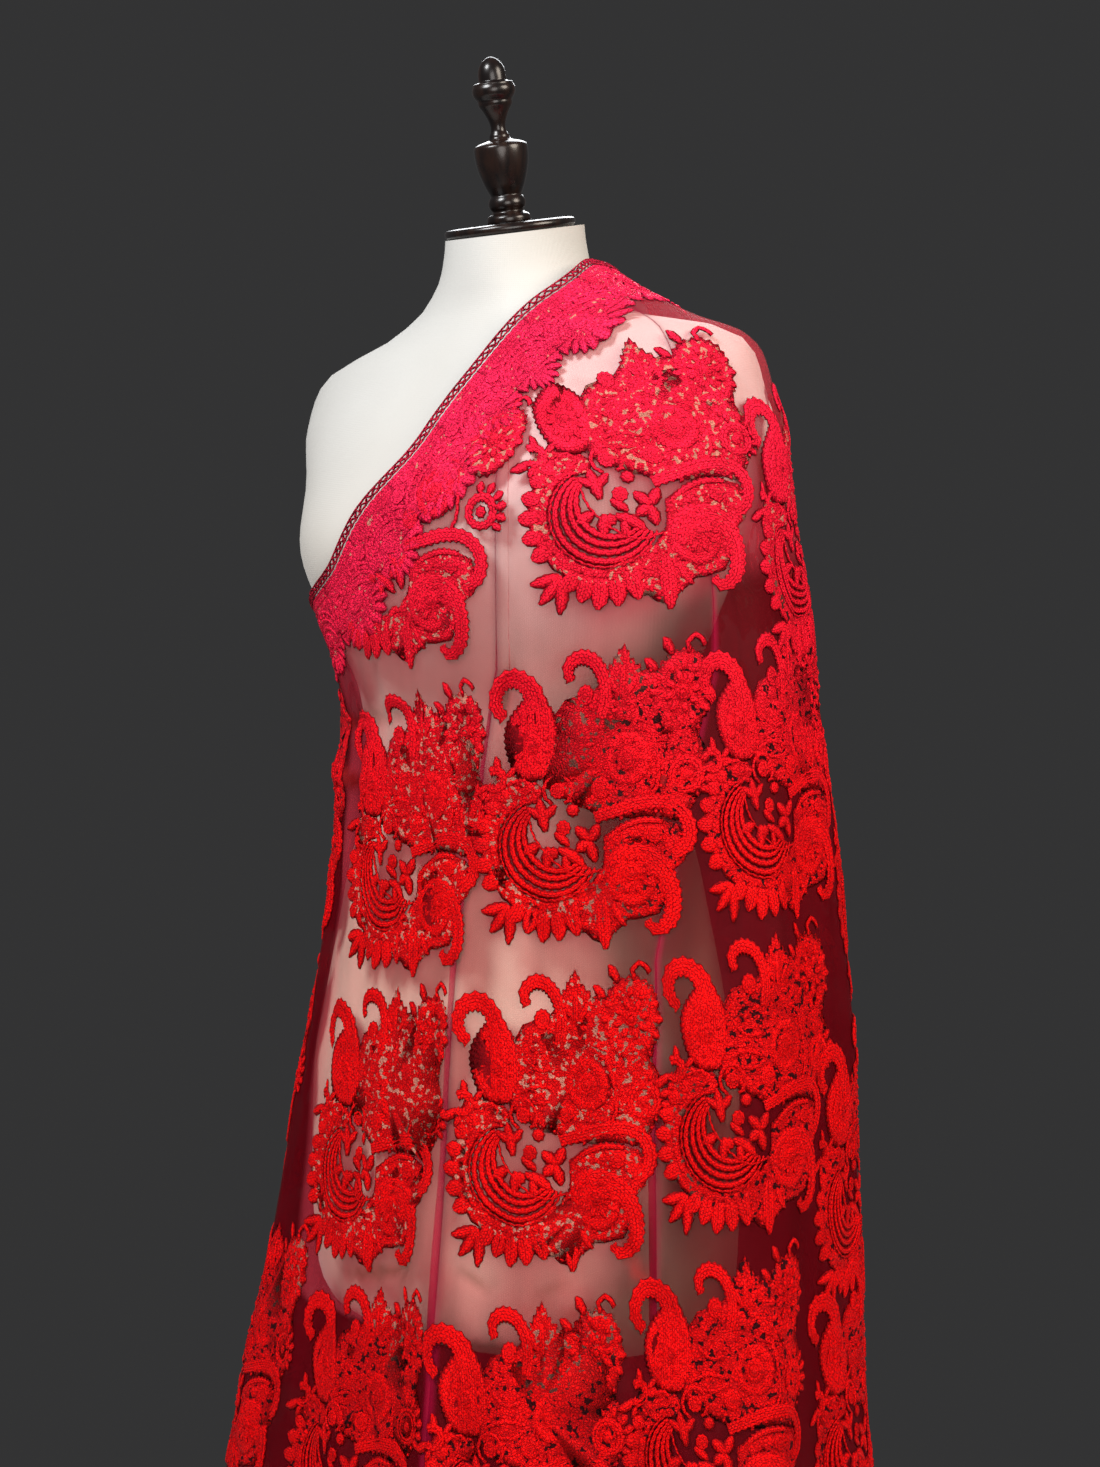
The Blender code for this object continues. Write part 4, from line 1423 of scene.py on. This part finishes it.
def stitch(work, x, y, turn, length=2.6, half_width=1.5, height=1.15):
    """One loose filling stitch: a low four-sided point."""
    ends = [polar((x, y), length, turn), polar((x, y), half_width, turn + 90.0)]
    ends += [polar((x, y), length, turn + 180.0), polar((x, y), half_width, turn + 270.0)]
    points = [[a, b, 0.0, 0.0, 0.0, 0.0, 0.0] for a, b in ends] + [[x, y, height, 0.0, 0.0, 1.0, 0.0]]
    points = np.array(points) * ([MILLIMETRE] * 3 + [1.0] * 4)
    faces = [(0, 1, 4), (1, 2, 4), (2, 3, 4), (3, 0, 4), (0, 2, 1), (0, 3, 2)]
    add_patch(work, points, np.array(faces))


def leaves(work, rows):
    for row in rows:
        leaf(work, *row)


def rosettes(work, rows):
    for row in rows:
        rosette(work, *row)


def petals(work, middle, near, far, turns, half_width, height=1.2):
    """Leaves in a ring: one for each number of degrees, from near to far off the middle."""
    for degrees in turns:
        leaf(work, polar(middle, near, degrees), polar(middle, far, degrees), half_width, height)


print("shapes: rosette, leaf, stem, stitch and ring of petals")

# %% [markdown]
# ## One spray
# The cloth's repeat is a spray of traditional paisley work: a large paisley at the top
# left, a rosette at the top right, a crescent of nested rows fanned with petals at the
# lower left, an open little flower inside it, and a second paisley at the lower right.
# It is laid out in millimetres from the spray's middle, as a pattern drawer
# would, so every shape can be moved by changing one number.


# %% Paisleys
def upper_paisley(work):
    body = [(-52, 50), (-41, 57), (-29, 50), (-24, 34), (-27, 18), (-37, 11), (-49, 13), (-57, 24), (-59, 40)]
    patch(work, body, (-41, 32), 2, 0.9, 0.6)
    line = [(-60, 43), (-67, 52), (-64, 61), (-54, 64), (-44, 59), (-39, 46), (-38, 30), (-38, 13)]
    outer = [3.2, 4.8, 5.4, 5.8, 8.5, 14.0, 15.5, 7.0]
    inner = [3.0, 4.4, 4.8, 5.2, 7.0, 13.0, 18.0, 9.0]
    band(work, line, outer, inner, 1.45, 4, 0.7, TOOTH_STEP * 1.5)
    petals(work, (-40, 31), 6.0, 13.5, range(20, 380, 40), 2.6, 2.0)
    rosette(work, (-40, 31), 5.2, 2, 2.1)


def lower_paisley(work):
    body = [(6, -47), (10, -32), (21, -24), (32, -26), (40, -36), (41, -50), (36, -60), (28, -66)]
    body += [(16, -63), (9, -56)]
    patch(work, body, (25, -44), 2, 0.9, 0.6)
    line = [(33, -72), (38, -78), (45, -73), (48, -60), (46, -47), (38, -36), (29, -34), (21, -40), (18, -52)]
    inner = [2.4, 4.2, 4.8, 4.8, 5.2, 8.0, 14.0, 16.0, 7.0]
    outer = [2.4, 4.2, 4.8, 5.2, 5.6, 7.0, 10.0, 12.0, 7.0]
    band(work, line, inner, outer, 1.45, 4, 0.7, TOOTH_STEP * 1.4)
    petals(work, (26, -43), 7.0, 14.0, range(0, 360, 36), 2.6, 2.0)
    rosette(work, (26, -43), 5.4, 2, 2.1)


print("paisleys drawn")

# %% Crescent, fan and open flower
CRESCENT_MIDDLE, CRESCENT_REACH = (-28.5, -30.5), 30.0
HOLLOW_MIDDLE, HOLLOW_REACH = (-22.5, -22.0), 21.0
CRESCENT_ROWS = (0.08, 0.38, 0.66, 0.94)
FAN_PETALS = (
    # degrees round the crescent, how far out the petal's tip lies
    (132, 48), (146, 49), (162, 50), (178, 51), (194, 51), (209, 51),
    (240, 54), (252, 56), (263, 59), (275, 57), (288, 56),
)


def hollow_edge(degrees):
    """How far the hollow's circle lies from the crescent's middle."""
    way = math.cos(math.radians(degrees)), math.sin(math.radians(degrees))
    apart = HOLLOW_MIDDLE[0] - CRESCENT_MIDDLE[0], HOLLOW_MIDDLE[1] - CRESCENT_MIDDLE[1]
    along = apart[0] * way[0] + apart[1] * way[1]
    return along + math.sqrt(HOLLOW_REACH**2 - apart[0] ** 2 - apart[1] ** 2 + along**2)


def crescent(work):
    turns = np.linspace(118.0, 339.0, 21).tolist()
    inner = [hollow_edge(degrees) for degrees in turns]
    for share in CRESCENT_ROWS:
        reach = [CRESCENT_REACH - share * (CRESCENT_REACH - near) for near in inner]
        line = [polar(CRESCENT_MIDDLE, far, t) for t, far in zip(turns, reach)]
        half = [0.5 + 0.11 * (CRESCENT_REACH - near) for near in inner]
        band(work, line, half, half, 1.35, 1, 0.35, TOOTH_STEP * 1.6)
    stem(work, arc(CRESCENT_MIDDLE, 32.0, 112, 341, 20), 0.9, 1.5)
    base = arc(CRESCENT_MIDDLE, 38.6, 122, 306, 20)
    band(work, base, [6.4] * 2, [6.4] * 2, 0.6, 2, 0.6, TOOTH_STEP * 2.6, 1.0)
    for degrees, reach in FAN_PETALS:
        foot, tip = polar(CRESCENT_MIDDLE, 39.0, degrees), polar(CRESCENT_MIDDLE, reach, degrees)
        leaf(work, foot, tip, 6.0, 1.45, 0.04)
        stitch(work, *polar(CRESCENT_MIDDLE, 37.0, degrees + 6.0), degrees, 2.8, 1.8)
    leaves(work, [((-57, -66), tip, 4.6, 1.3, 0.05) for tip in ((-75, -71), (-70, -84), (-58, -91))])


def open_flower(work):
    leaves(work, (
        ((-30, -20), (-34, 1), 4.7, 1.4), ((-31, -12), (-42, -5), 3.6), ((-31, -12), (-23, -3), 3.6),
        ((-22, -30), (-4, -41), 4.7, 1.4, 0.06), ((-34, -28), (-45, -34), 4.6, 1.4),
        ((-28, -29), (-30, -44), 4.6, 1.4), ((-17, -33), (-16, -46), 3.8, 1.3),
        ((-24, -20), (-14, -28), 3.8, 1.3),
    ))
    rosettes(work, (((-18, -17), 5.0, 2, 1.3), ((-12, -6), 4.4, 1, 1.2), ((-25, -33), 4.2, 1, 1.2)))
    leaves(work, [((-1, -25), tip, 4.6, 1.3) for tip in ((-10, -16), (5, -14), (2, -38), (-10, -31))])
    stem(work, [(-41, -10), (-38, -22), (-31, -32), (-22, -40), (-8, -46), (6, -42)], 0.9)


print("crescent of", len(FAN_PETALS), "petals")

# %% [markdown]
# The rest of the spray fills in round those: rosettes with lobed edges, hooked curls
# with a bud under each, a scroll at the right, pointed leaves, and the low ground of
# close filling that ties them together.


# %% Rosettes and curls
def right_rosette(work):
    outline = [(34, 64), (37, 73), (45, 79), (55, 80), (63, 75), (66, 66), (66, 54), (63, 44)]
    outline += [(56, 36), (46, 35), (37, 40), (33, 49)]
    patch(work, outline, (50, 58), 2, 0.8, 0.9, TOOTH_STEP * 1.4, 1.0)
    petals(work, (50, 58), 11.0, 18.5, range(0, 360, 30), 3.6, 1.3)
    petals(work, (50, 58), 4.5, 11.5, range(15, 375, 45), 3.2, 1.9)
    rosette(work, (50, 58), 4.2, 2, 2.0)
    leaves(work, (((43, 77), (38, 86), 3.2), ((35, 69), (28, 75), 3.0)))
    stem(work, [(53, 78), (52, 84), (57, 87), (62, 82)], 1.7)
    for line in (((37, 41), (24, 45)), ((40, 37), (28, 39)), ((44, 34), (34, 33))):
        stem(work, line, 0.9, 1.1)


def ring_flower(work):
    band(work, arc((56, 16), 8.0, 10, 372, 16), [2.8] * 2, [2.8] * 2, 1.3, 2, 0.4)
    rosette(work, (56, 16), 3.6, 1, 1.5)
    petals(work, (56, 16), 10.0, 17.0, (-34, -8, 18, 44, 74, 104), 3.3)


def top_flower(work):
    outline = [(16, 82), (21, 75), (27, 70), (29, 60), (27, 49)]
    outline += [(18, 43), (9, 46), (4, 55), (5, 66), (10, 75)]
    patch(work, outline, (16, 60), 2, 0.8, 1.0, TOOTH_STEP * 1.4, 1.0)
    leaf(work, (16, 54), (16, 72), 4.0, 1.6)
    for side in (-1, 1):
        leaf(work, (16 + 2 * side, 56), (16 + 9 * side, 66), 3.0, 1.5)
        leaf(work, (16 + 2 * side, 53), (16 + 9 * side, 52), 2.8, 1.5)


def top_curl(work):
    line = [(-17, 63), (-19, 70), (-13, 75), (-4, 74), (3, 67), (6, 57), (4, 44)]
    left = [3.2, 4.0, 4.3, 4.4, 4.6, 5.0, 4.0]
    right = [3.0, 4.0, 4.2, 4.2, 4.4, 5.0, 4.0]
    band(work, line, left, right, 1.35, 2)
    rosette(work, (-7, 56), 5.8, 2, 1.35)


def right_scroll(work):
    outer = [(2, -10), (18, -5), (33, 0), (46, 0), (55, -6), (59, -17), (56, -27), (49, -32)]
    left = [4.0, 4.4, 4.8, 4.8, 4.6, 4.4, 4.6, 4.0]
    right = [4.0, 4.2, 4.6, 4.6, 4.4, 4.2, 4.4, 4.0]
    band(work, outer, left, right, 1.3, 3, 0.6, TOOTH_STEP * 1.4)
    half = [1.6, 2.6, 2.8, 2.0]
    band(work, [(10, -24), (20, -16), (32, -11), (44, -11)], half, half, 1.25, 1)
    rosette(work, (39, -19), 5.6, 2, 1.35)


def left_flower(work):
    band(work, arc((-64, 11), 5.6, -150, 130, 12), [2.8] * 2, [2.8] * 2, 1.25, 2, 0.4)
    leaves(work, (
        ((-68, 8), (-81, 2), 3.8, 1.25, 0.08), ((-62, 15), (-64, 24), 3.0),
        ((-57, 13), (-50, 18), 2.8), ((-66, 4), (-70, -3), 2.8),
    ))
    stem(work, [(-56, 8), (-50, 11), (-43, 11), (-40, 7), (-44, 3), (-49, 5)], 1.5)


print("rosettes and curls drawn")


# %% Low ground
GROUNDS = (
    # The outlines of the upper, lower and left ground
    (
        (-31, 8), (-33, 22), (-30, 38), (-24, 50), (-12, 57), (0, 60), (8, 70), (16, 76), (24, 68),
        (32, 70), (42, 70), (56, 62), (62, 50), (62, 36), (68, 24), (67, 10), (60, -2), (54, -10),
        (40, -8), (20, -10), (4, -8), (-12, -2), (-24, 4),
    ),
    (
        (8, -22), (20, -14), (34, -10), (50, -12), (58, -22), (56, -34), (48, -44), (46, -58),
        (38, -69), (24, -72), (14, -80), (6, -88), (-6, -82), (-22, -80), (-34, -72), (-30, -64),
        (-14, -57), (0, -49), (8, -36),
    ),
    (
        (-62, 14), (-50, 14), (-38, 11), (-30, 6), (-34, -2), (-46, -4), (-58, -10), (-68, -8), (-68, 4),
    ),
)
GROUND_CENTRES = ((12, 28), (20, -48), (-50, 3))
GROUND_ROWS = ((3, 3.6), (3, 3.6), (2, 2.6))
COVERED = (
    # x, y, radius of what already hides the ground
    (22, 24, 14), (-41, 28, 16), (25, -44, 17), (50, 58, 18), (56, 16, 11), (6, 8, 6),
    (-22, 6, 6), (16, 60, 12),
)
FILL_STEP, FILL_STRAY = 5.7, 0.9
FILL_ROWS, FILL_COLUMNS = 44, 38
FILL_CORNER = (-80.0, -94.0)


def close_ground(work):
    for outline, middle, (rings, wide) in zip(GROUNDS, GROUND_CENTRES, GROUND_ROWS):
        patch(work, outline, middle, rings, 0.62, 0.7, TOOTH_STEP * wide, 1.0)


def inside_outline(x, y, outline):
    inside = False
    for (x0, y0), (x1, y1) in zip(outline, outline[1:] + outline[:1]):
        if (y0 > y) != (y1 > y) and x < x0 + (x1 - x0) * (y - y0) / (y1 - y0):
            inside = not inside
    return inside


def scatter_fill(work):
    """Tiny raised stitches over the ground; tells which ground each one lies on."""
    draw = np.random.default_rng(3).uniform
    homes = []
    for row in range(FILL_ROWS):
        for column in range(FILL_COLUMNS):
            x = FILL_CORNER[0] + FILL_STEP * (column + 0.5 * (row % 2)) + draw(-FILL_STRAY, FILL_STRAY)
            y = FILL_CORNER[1] + FILL_STEP * 0.87 * row + draw(-FILL_STRAY, FILL_STRAY)
            turn = draw(0.0, 180.0)
            hidden = any(math.hypot(x - a, y - b) < reach for a, b, reach in COVERED)
            under = [k for k, ground in enumerate(GROUNDS) if inside_outline(x, y, ground)]
            if under and not hidden:
                stitch(work, x, y, turn)
                homes.append(under[0])
    return homes


print("grounds", len(GROUNDS), "filled every", FILL_STEP, "mm")


# %% The whole spray
def filling(work):
    rosette(work, (22, 24), 15.0, 2, 1.0)
    petals(work, (22, 24), 8.0, 14.6, range(0, 360, 36), 3.0, 1.6)
    rosettes(work, (((22, 24), 6.5, 2, 1.8), ((6, 8), 7.0, 2, 1.35), ((-22, 6), 5.6, 2, 1.6)))
    stem(work, arc((-22, 6), 9.2, -60, 250, 12), 1.5, 1.5)
    for line in (
        [(-27, 17), (-12, 22), (2, 20)], [(-20, 36), (-9, 30), (2, 32)], [(-16, 14), (-4, 14), (4, 18)],
    ):
        stem(work, line, 1.3)
    stem(work, [(34, 40), (38, 28), (40, 12), (36, 2)], 1.4)
    leaves(work, (
        ((6, -57), (7, -91), 6.4, 1.4), ((-12, -62), (-11, -79), 4.6, 1.4),
        ((13, -62), (21, -76), 4.0, 1.3, -0.06), ((-2, -50), (-10, -58), 3.4),
    ))


UPPER_FROM, UPPER_STRETCH = 0.012, 1.22
RIGHT_FROM, RIGHT_STRETCH = 0.020, 1.12


def one_spray():
    work = new_work()
    for shape in (
        close_ground, crescent, open_flower, upper_paisley, lower_paisley, right_rosette,
        ring_flower, top_flower, top_curl, right_scroll, left_flower, filling,
    ):
        shape(work)
    no_home = np.full(work["patches"], -1)
    homes = np.concatenate([no_home, scatter_fill(work)])
    points = np.concatenate(work["points"])
    points[:, 0] += (RIGHT_STRETCH - 1.0) * np.maximum(points[:, 0] - RIGHT_FROM, 0.0)
    points[:, 1] += (UPPER_STRETCH - 1.0) * np.maximum(points[:, 1] - UPPER_FROM, 0.0)
    return points, np.concatenate(work["faces"]), np.concatenate(work["patch"]), homes


SPRAY_POINTS, SPRAY_FACES, SPRAY_PATCH, SPRAY_HOMES = one_spray()
print("one spray:", len(SPRAY_FACES), "triangles,", SPRAY_PATCH.max() + 1, "stitched shapes")

# %% [markdown]
# ## Sewing the sprays on
# Sprays stand upright in rows, each row half a step from the next where the drape
# allows. Every spray is turned and stretched a little, by listed values or by a seeded draw, as
# embroidered net never hangs quite even. What would cross the border or run off the
# cloth's edge is left out shape by shape.

# %% Spray places
SPRAYS = (
    # angle, height, share of the width, share of the height, turn in degrees
    (331.0, 1.246, 1.06, 0.98, 3.0),
    (273.0, 1.208, 0.92, 0.98, -6.0),
    (370.0, 1.215, 0.84, 0.98, 2.0),
    (404.0, 1.225, 0.86, 0.98, -2.0),
    (74.0, 1.190, 0.88, 0.98, 2.0),
    (112.0, 1.105, 0.88, 0.98, 0.0),
    (268.0, 1.010, 0.86, 1.00, 1.0),
    (321.5, 1.038, 1.00, 1.02, 0.0),
    (354.0, 1.052, 0.80, 0.98, -1.0),
    (381.0, 0.992, 0.78, 1.00, 2.0),
    (409.0, 1.030, 0.84, 1.00, -2.0),
    (78.0, 0.985, 0.86, 1.00, 1.0),
    (160.0, 1.050, 0.82, 1.00, 2.0),
    (114.0, 0.900, 0.84, 1.00, -1.0),
    (205.0, 1.015, 0.80, 1.00, 2.0),
    (259.5, 0.815, 0.86, 1.00, 0.0),
    (313.0, 0.834, 0.96, 1.00, 1.0),
    (345.5, 0.860, 0.84, 1.00, -1.0),
    (372.0, 0.800, 0.82, 1.00, 1.0),
    (404.0, 0.828, 0.84, 1.00, 0.0),
    (76.0, 0.780, 0.86, 1.00, -2.0),
    (153.0, 0.850, 0.80, 1.00, 1.0),
    (198.0, 0.818, 0.80, 1.00, -1.0),
    (262.0, 0.622, 0.84, 1.00, 0.0),
    (305.0, 0.628, 0.92, 1.00, 1.0),
    (339.0, 0.660, 0.84, 1.00, -1.0),
    (370.0, 0.640, 0.84, 1.00, 1.0),
)
LOWER_ROWS = (
    # height, angles of the sprays in the row
    (0.640, (220, 402, 430, 66, 100, 141, 181)),
    (0.445, (242, 279, 321, 351, 68, 102, 138, 174, 208)),
    (0.272, (216, 248, 181, 146)),
)
SPRAY_TURN = 2.0
rng = np.random.default_rng(7)
all_sprays = list(SPRAYS)
for level, centres in LOWER_ROWS:
    for centre in centres:
        all_sprays.append((centre, level, 0.82, 1.00, rng.uniform(-SPRAY_TURN, SPRAY_TURN)))
print("sprays", len(all_sprays))


# %% Spray meshes
def stitched_mesh(name, points, faces, marks):
    """A mesh whose points say where they lie along the stitches and how raised they are."""
    made = mesh_from_arrays(name, points, faces, marks[:, :2])
    angles = np.degrees(np.arctan2(points[:, 1], points[:, 0]))
    paint(made, "raised", marks[:, 2])
    paint(made, "near_form", near_form(angles, points[:, 2]))
    return made


def with_filling(made, marks, faces, filling):
    """Gives the low ground of a stitched mesh its own finish."""
    made.data.materials.append(filling)
    low = (marks[faces[:, 0], 3] > 0.5).astype(np.int32)
    made.data.polygons.foreach_set("material_index", low)
    return made


def on_net(flat, angles, heights, raise_by=0.0):
    """Where flat work lies on the net, lifted along the normal by its own height."""
    lift = flat[:, 2] + EMBROIDERY_LIFT + raise_by
    return net_point(angles, heights) + net_normal(angles, heights) * lift[:, None]


HEM_ANGLES = np.arange(40.0, 441.0, 2.0)
HEM_TABLE = np.array([column_heights(a, np.array([DUPATTA_WIDTH]))[0] for a in HEM_ANGLES])


def hem_height(angle):
    return np.interp(angle, HEM_ANGLES, HEM_TABLE)


print("hem at the front", round(float(hem_height(270.0)), 3), "m above the floor")

# %% Sewing the sprays
BORDER_CLEAR, GROUND_CLEAR = 0.050, 0.026
EDGE_CLEAR, END_CLEAR = 0.004, 1.0


def lay_spray(angle, height, wide, tall, turn):
    """One spray's points on the net, and the triangles that stay on the cloth."""
    spin = math.radians(turn)
    flat = SPRAY_POINTS[:, :2] * (wide, tall)
    across = flat[:, 0] * math.cos(spin) - flat[:, 1] * math.sin(spin)
    up = flat[:, 0] * math.sin(spin) + flat[:, 1] * math.cos(spin)
    angles, heights = lay_on_net(np.stack([across, up], axis=1), angle, height)
    top = top_height(angles) - np.where(SPRAY_POINTS[:, 6] > 0.5, GROUND_CLEAR, BORDER_CLEAR)
    inside = heights < top
    inside &= (angles > NET_FROM + END_CLEAR) & (angles < NET_TO - END_CLEAR)
    inside &= heights > hem_height(angles) + EDGE_CLEAR
    out_faces = ~inside[SPRAY_FACES].all(axis=1)
    dropped = np.unique(SPRAY_PATCH[out_faces])
    dropped = np.union1d(dropped, np.flatnonzero(np.isin(SPRAY_HOMES, dropped)))
    kept = SPRAY_FACES[~np.isin(SPRAY_PATCH, dropped)]
    return on_net(SPRAY_POINTS, angles, heights), kept


def sew_sprays(name, low, high):
    points, marks, faces, size = [], [], [], 0
    for spray in all_sprays:
        if low <= spray[0] < high:
            laid, kept = lay_spray(*spray)
            used, index = np.unique(kept, return_inverse=True)
            points.append(laid[used])
            marks.append(SPRAY_POINTS[used, 3:])
            faces.append(index.reshape(-1, 3) + size)
            size += len(used)
    marks, faces = np.concatenate(marks), np.concatenate(faces)
    made = stitched_mesh(name, np.concatenate(points), faces, marks)
    carried(made, spray_finish)
    print(name, len(faces), "triangles")
    return with_filling(made, marks, faces, spray_ground)


SPRAY_PIECES = (
    ("sprays_inner_end", 44.0, 110.0),
    ("sprays_back", 110.0, 180.0),
    ("sprays_under_arm", 180.0, 250.0),
    ("sprays_front", 250.0, 340.0),
    ("sprays_outer_end", 340.0, 437.0),
)
sprays = [sew_sprays(*piece) for piece in SPRAY_PIECES]

# %% [markdown]
# ## The border
# Along the top edge runs a dense embroidered band with a scalloped lower side. It is
# drawn straight, as it was stitched, one scallop at a time, and laid along the edge:
# across the band each point is stepped out over the cloth at right angles to the edge.
# A curve modifier would bend it along the edge too, but not over the shoulder's round.

# %% Border map
BORDER_STEP, BORDER_DEEP = 0.003, 0.078
BORDER_MARGIN = 0.002
STEP_TURN, STEP_RISE = 0.1, 0.001


def border_map():
    """Angles and heights on a grid: along the top edge, then down at right angles to it."""
    fine = np.arange(NET_FROM + 0.3, NET_TO - 0.3, 0.25)
    edge = net_point(fine, top_height(fine))
    run = np.concatenate([[0.0], np.cumsum(np.linalg.norm(np.diff(edge, axis=0), axis=1))])
    even = np.arange(0.0, run[-1], BORDER_STEP)
    angles = np.interp(even, run, fine)
    heights = top_height(angles)
    rows = [(angles, heights)]
    edge_way = np.gradient(net_point(angles, heights), axis=0)
    turn, rise = STEP_TURN, STEP_RISE
    for _ in range(int(BORDER_DEEP / BORDER_STEP)):
        normal = net_normal(angles, heights)
        down = np.cross(edge_way, normal)
        down /= np.linalg.norm(down, axis=1, keepdims=True)
        down *= -np.sign(down[:, 2:3])
        by_angle = net_point(angles + turn, heights) - net_point(angles - turn, heights)
        by_angle /= 2.0 * turn
        by_height = net_point(angles, heights + rise) - net_point(angles, heights - rise)
        by_height /= 2.0 * rise
        aa = (by_angle**2).sum(axis=1)
        ah = (by_angle * by_height).sum(axis=1)
        hh = (by_height**2).sum(axis=1)
        da = (by_angle * down).sum(axis=1) * BORDER_STEP
        dh = (by_height * down).sum(axis=1) * BORDER_STEP
        whole = aa * hh - ah * ah
        angles = angles + (da * hh - dh * ah) / whole
        heights = heights + (dh * aa - da * ah) / whole
        rows.append((angles, heights))
    return np.array([r[0] for r in rows]).T, np.array([r[1] for r in rows]).T, run[-1]


BORDER_ANGLES, BORDER_HEIGHTS, EDGE_LENGTH = border_map()


def lay_on_border(flat):
    """Angle and height of points given as distance along the edge and down from it."""
    along, down = flat[:, 0] / BORDER_STEP, flat[:, 1] / BORDER_STEP
    return from_grid(BORDER_ANGLES, along, down), from_grid(BORDER_HEIGHTS, along, down)


print("top edge", round(float(EDGE_LENGTH), 3), "m")

# %% Border scallops
SCALLOP = 46.0


def one_scallop():
    work = new_work()
    middle = SCALLOP * 0.5
    deep = TOOTH_STEP * 2.0
    ends = [(-0.2, -24.0), (SCALLOP + 0.2, -24.0)]
    band(work, ends, [18.0] * 2, [20.0] * 2, 0.6, 7, 0.0, deep, 1.0)
    for down, half in ((7.4, 1.7), (12.4, 1.3), (44.4, 1.6)):
        stem(work, [(0.0, -down), (SCALLOP, -down)], half, 1.4)
    hill = (middle, -44.0)
    for reach in (26.0, 20.5, 15.0):
        stem(work, arc(hill, reach, 172, 8, 14), 1.7, 1.4)
    rosette(work, (middle, -37.5), 6.4, 2, 1.6)
    rosette(work, (0.4, -21.0), 5.6, 2, 1.5, 5)
    rosette(work, (2.0, -36.0), 4.4, 2, 1.3)
    petals(work, hill, 20.5, 29.0, (58, 74, 90, 106, 122), 2.7, 1.5)
    leaves(work, (
        ((6, -15), (13, -18), 2.6, 1.3), ((40, -15), (33, -18), 2.6, 1.3),
        ((8, -28), (4, -29), 2.6, 1.3), ((38, -28), (42, -29), 2.6, 1.3),
    ))
    rosette(work, (middle, -46.0), 9.0, 3, 0.9, 0, 1.0)
    turns = (-158, -137, -116, -98, -82, -64, -43, -22)
    petals(work, (middle, -40.0), 10.0, 22.0, turns, 3.9, 1.4)
    for side in (3.0, SCALLOP - 4.0):
        leaf(work, (side, -43.0), (side + 0.5, -52.0), 3.6, 1.3)
    return np.concatenate(work["points"]), np.concatenate(work["faces"])


def sew_border():
    flat, faces = one_scallop()
    width = SCALLOP * MILLIMETRE
    repeats = int((EDGE_LENGTH - 3.0 * BORDER_MARGIN) / width)
    width_each = (EDGE_LENGTH - 2.0 * BORDER_MARGIN) / repeats
    stretch = width_each / width
    points, triangles = [], []
    for k in range(repeats):
        along = flat[:, 0] * stretch + BORDER_MARGIN + k * width_each
        angles, heights = lay_on_border(np.stack([along, -flat[:, 1]], axis=1))
        points.append(on_net(flat, angles, heights))
        triangles.append(faces + k * len(flat))
    marks = np.tile(flat[:, 3:], (repeats, 1))
    triangles = np.concatenate(triangles)
    made = stitched_mesh("border_band", np.concatenate(points), triangles, marks)
    return with_filling(carried(made, border_finish), marks, triangles, border_ground)


border_band = sew_border()
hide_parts("border_front", "border_side", "border_back")
print("border triangles", len(border_band.data.polygons))

# %% [markdown]
# The very edge is bound by a narrow dark braid: two lines with a zigzag between them.
# It is stitched work like the rest, so it is made of the same stems and laid on the same
# border map, a little above the band that it binds.


# %% Edge braid
BRAID_FROM, BRAID_RAISED = 3.0, 0.0007
ZIGZAG_STEP, ZIGZAG_TOP, ZIGZAG_DEEP = 3.2, -0.9, 3.4
ZIGZAG_PART = 40


def sew_braid():
    work = new_work()
    length = (EDGE_LENGTH - 3.0 * BORDER_MARGIN) / MILLIMETRE
    steps = int(length / ZIGZAG_STEP)
    zigzag = [(BRAID_FROM + length * k / steps, ZIGZAG_TOP - ZIGZAG_DEEP * (k % 2)) for k in range(steps)]
    for k in range(0, steps - 1, ZIGZAG_PART):
        stem(work, zigzag[k : k + ZIGZAG_PART + 1], 0.75, 1.5)
    for down in (0.2, 4.9):
        stem(work, [(BRAID_FROM, -down), (length, -down)], 0.6, 1.3)
    flat = np.concatenate(work["points"])
    faces = np.concatenate(work["faces"])
    angles, heights = lay_on_border(np.stack([flat[:, 0], -flat[:, 1]], axis=1))
    points = on_net(flat, angles, heights, BRAID_RAISED)
    made = stitched_mesh("edge_braid", points, faces, flat[:, 3:])
    return carried(made, braid_finish)


edge_braid = sew_braid()
print("braid triangles", len(edge_braid.data.polygons))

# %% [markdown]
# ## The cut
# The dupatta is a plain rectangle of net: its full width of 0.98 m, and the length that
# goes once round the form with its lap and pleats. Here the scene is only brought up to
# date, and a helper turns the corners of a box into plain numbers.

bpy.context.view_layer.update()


def plain(box):
    return [[float(number) for number in corner] for corner in box]
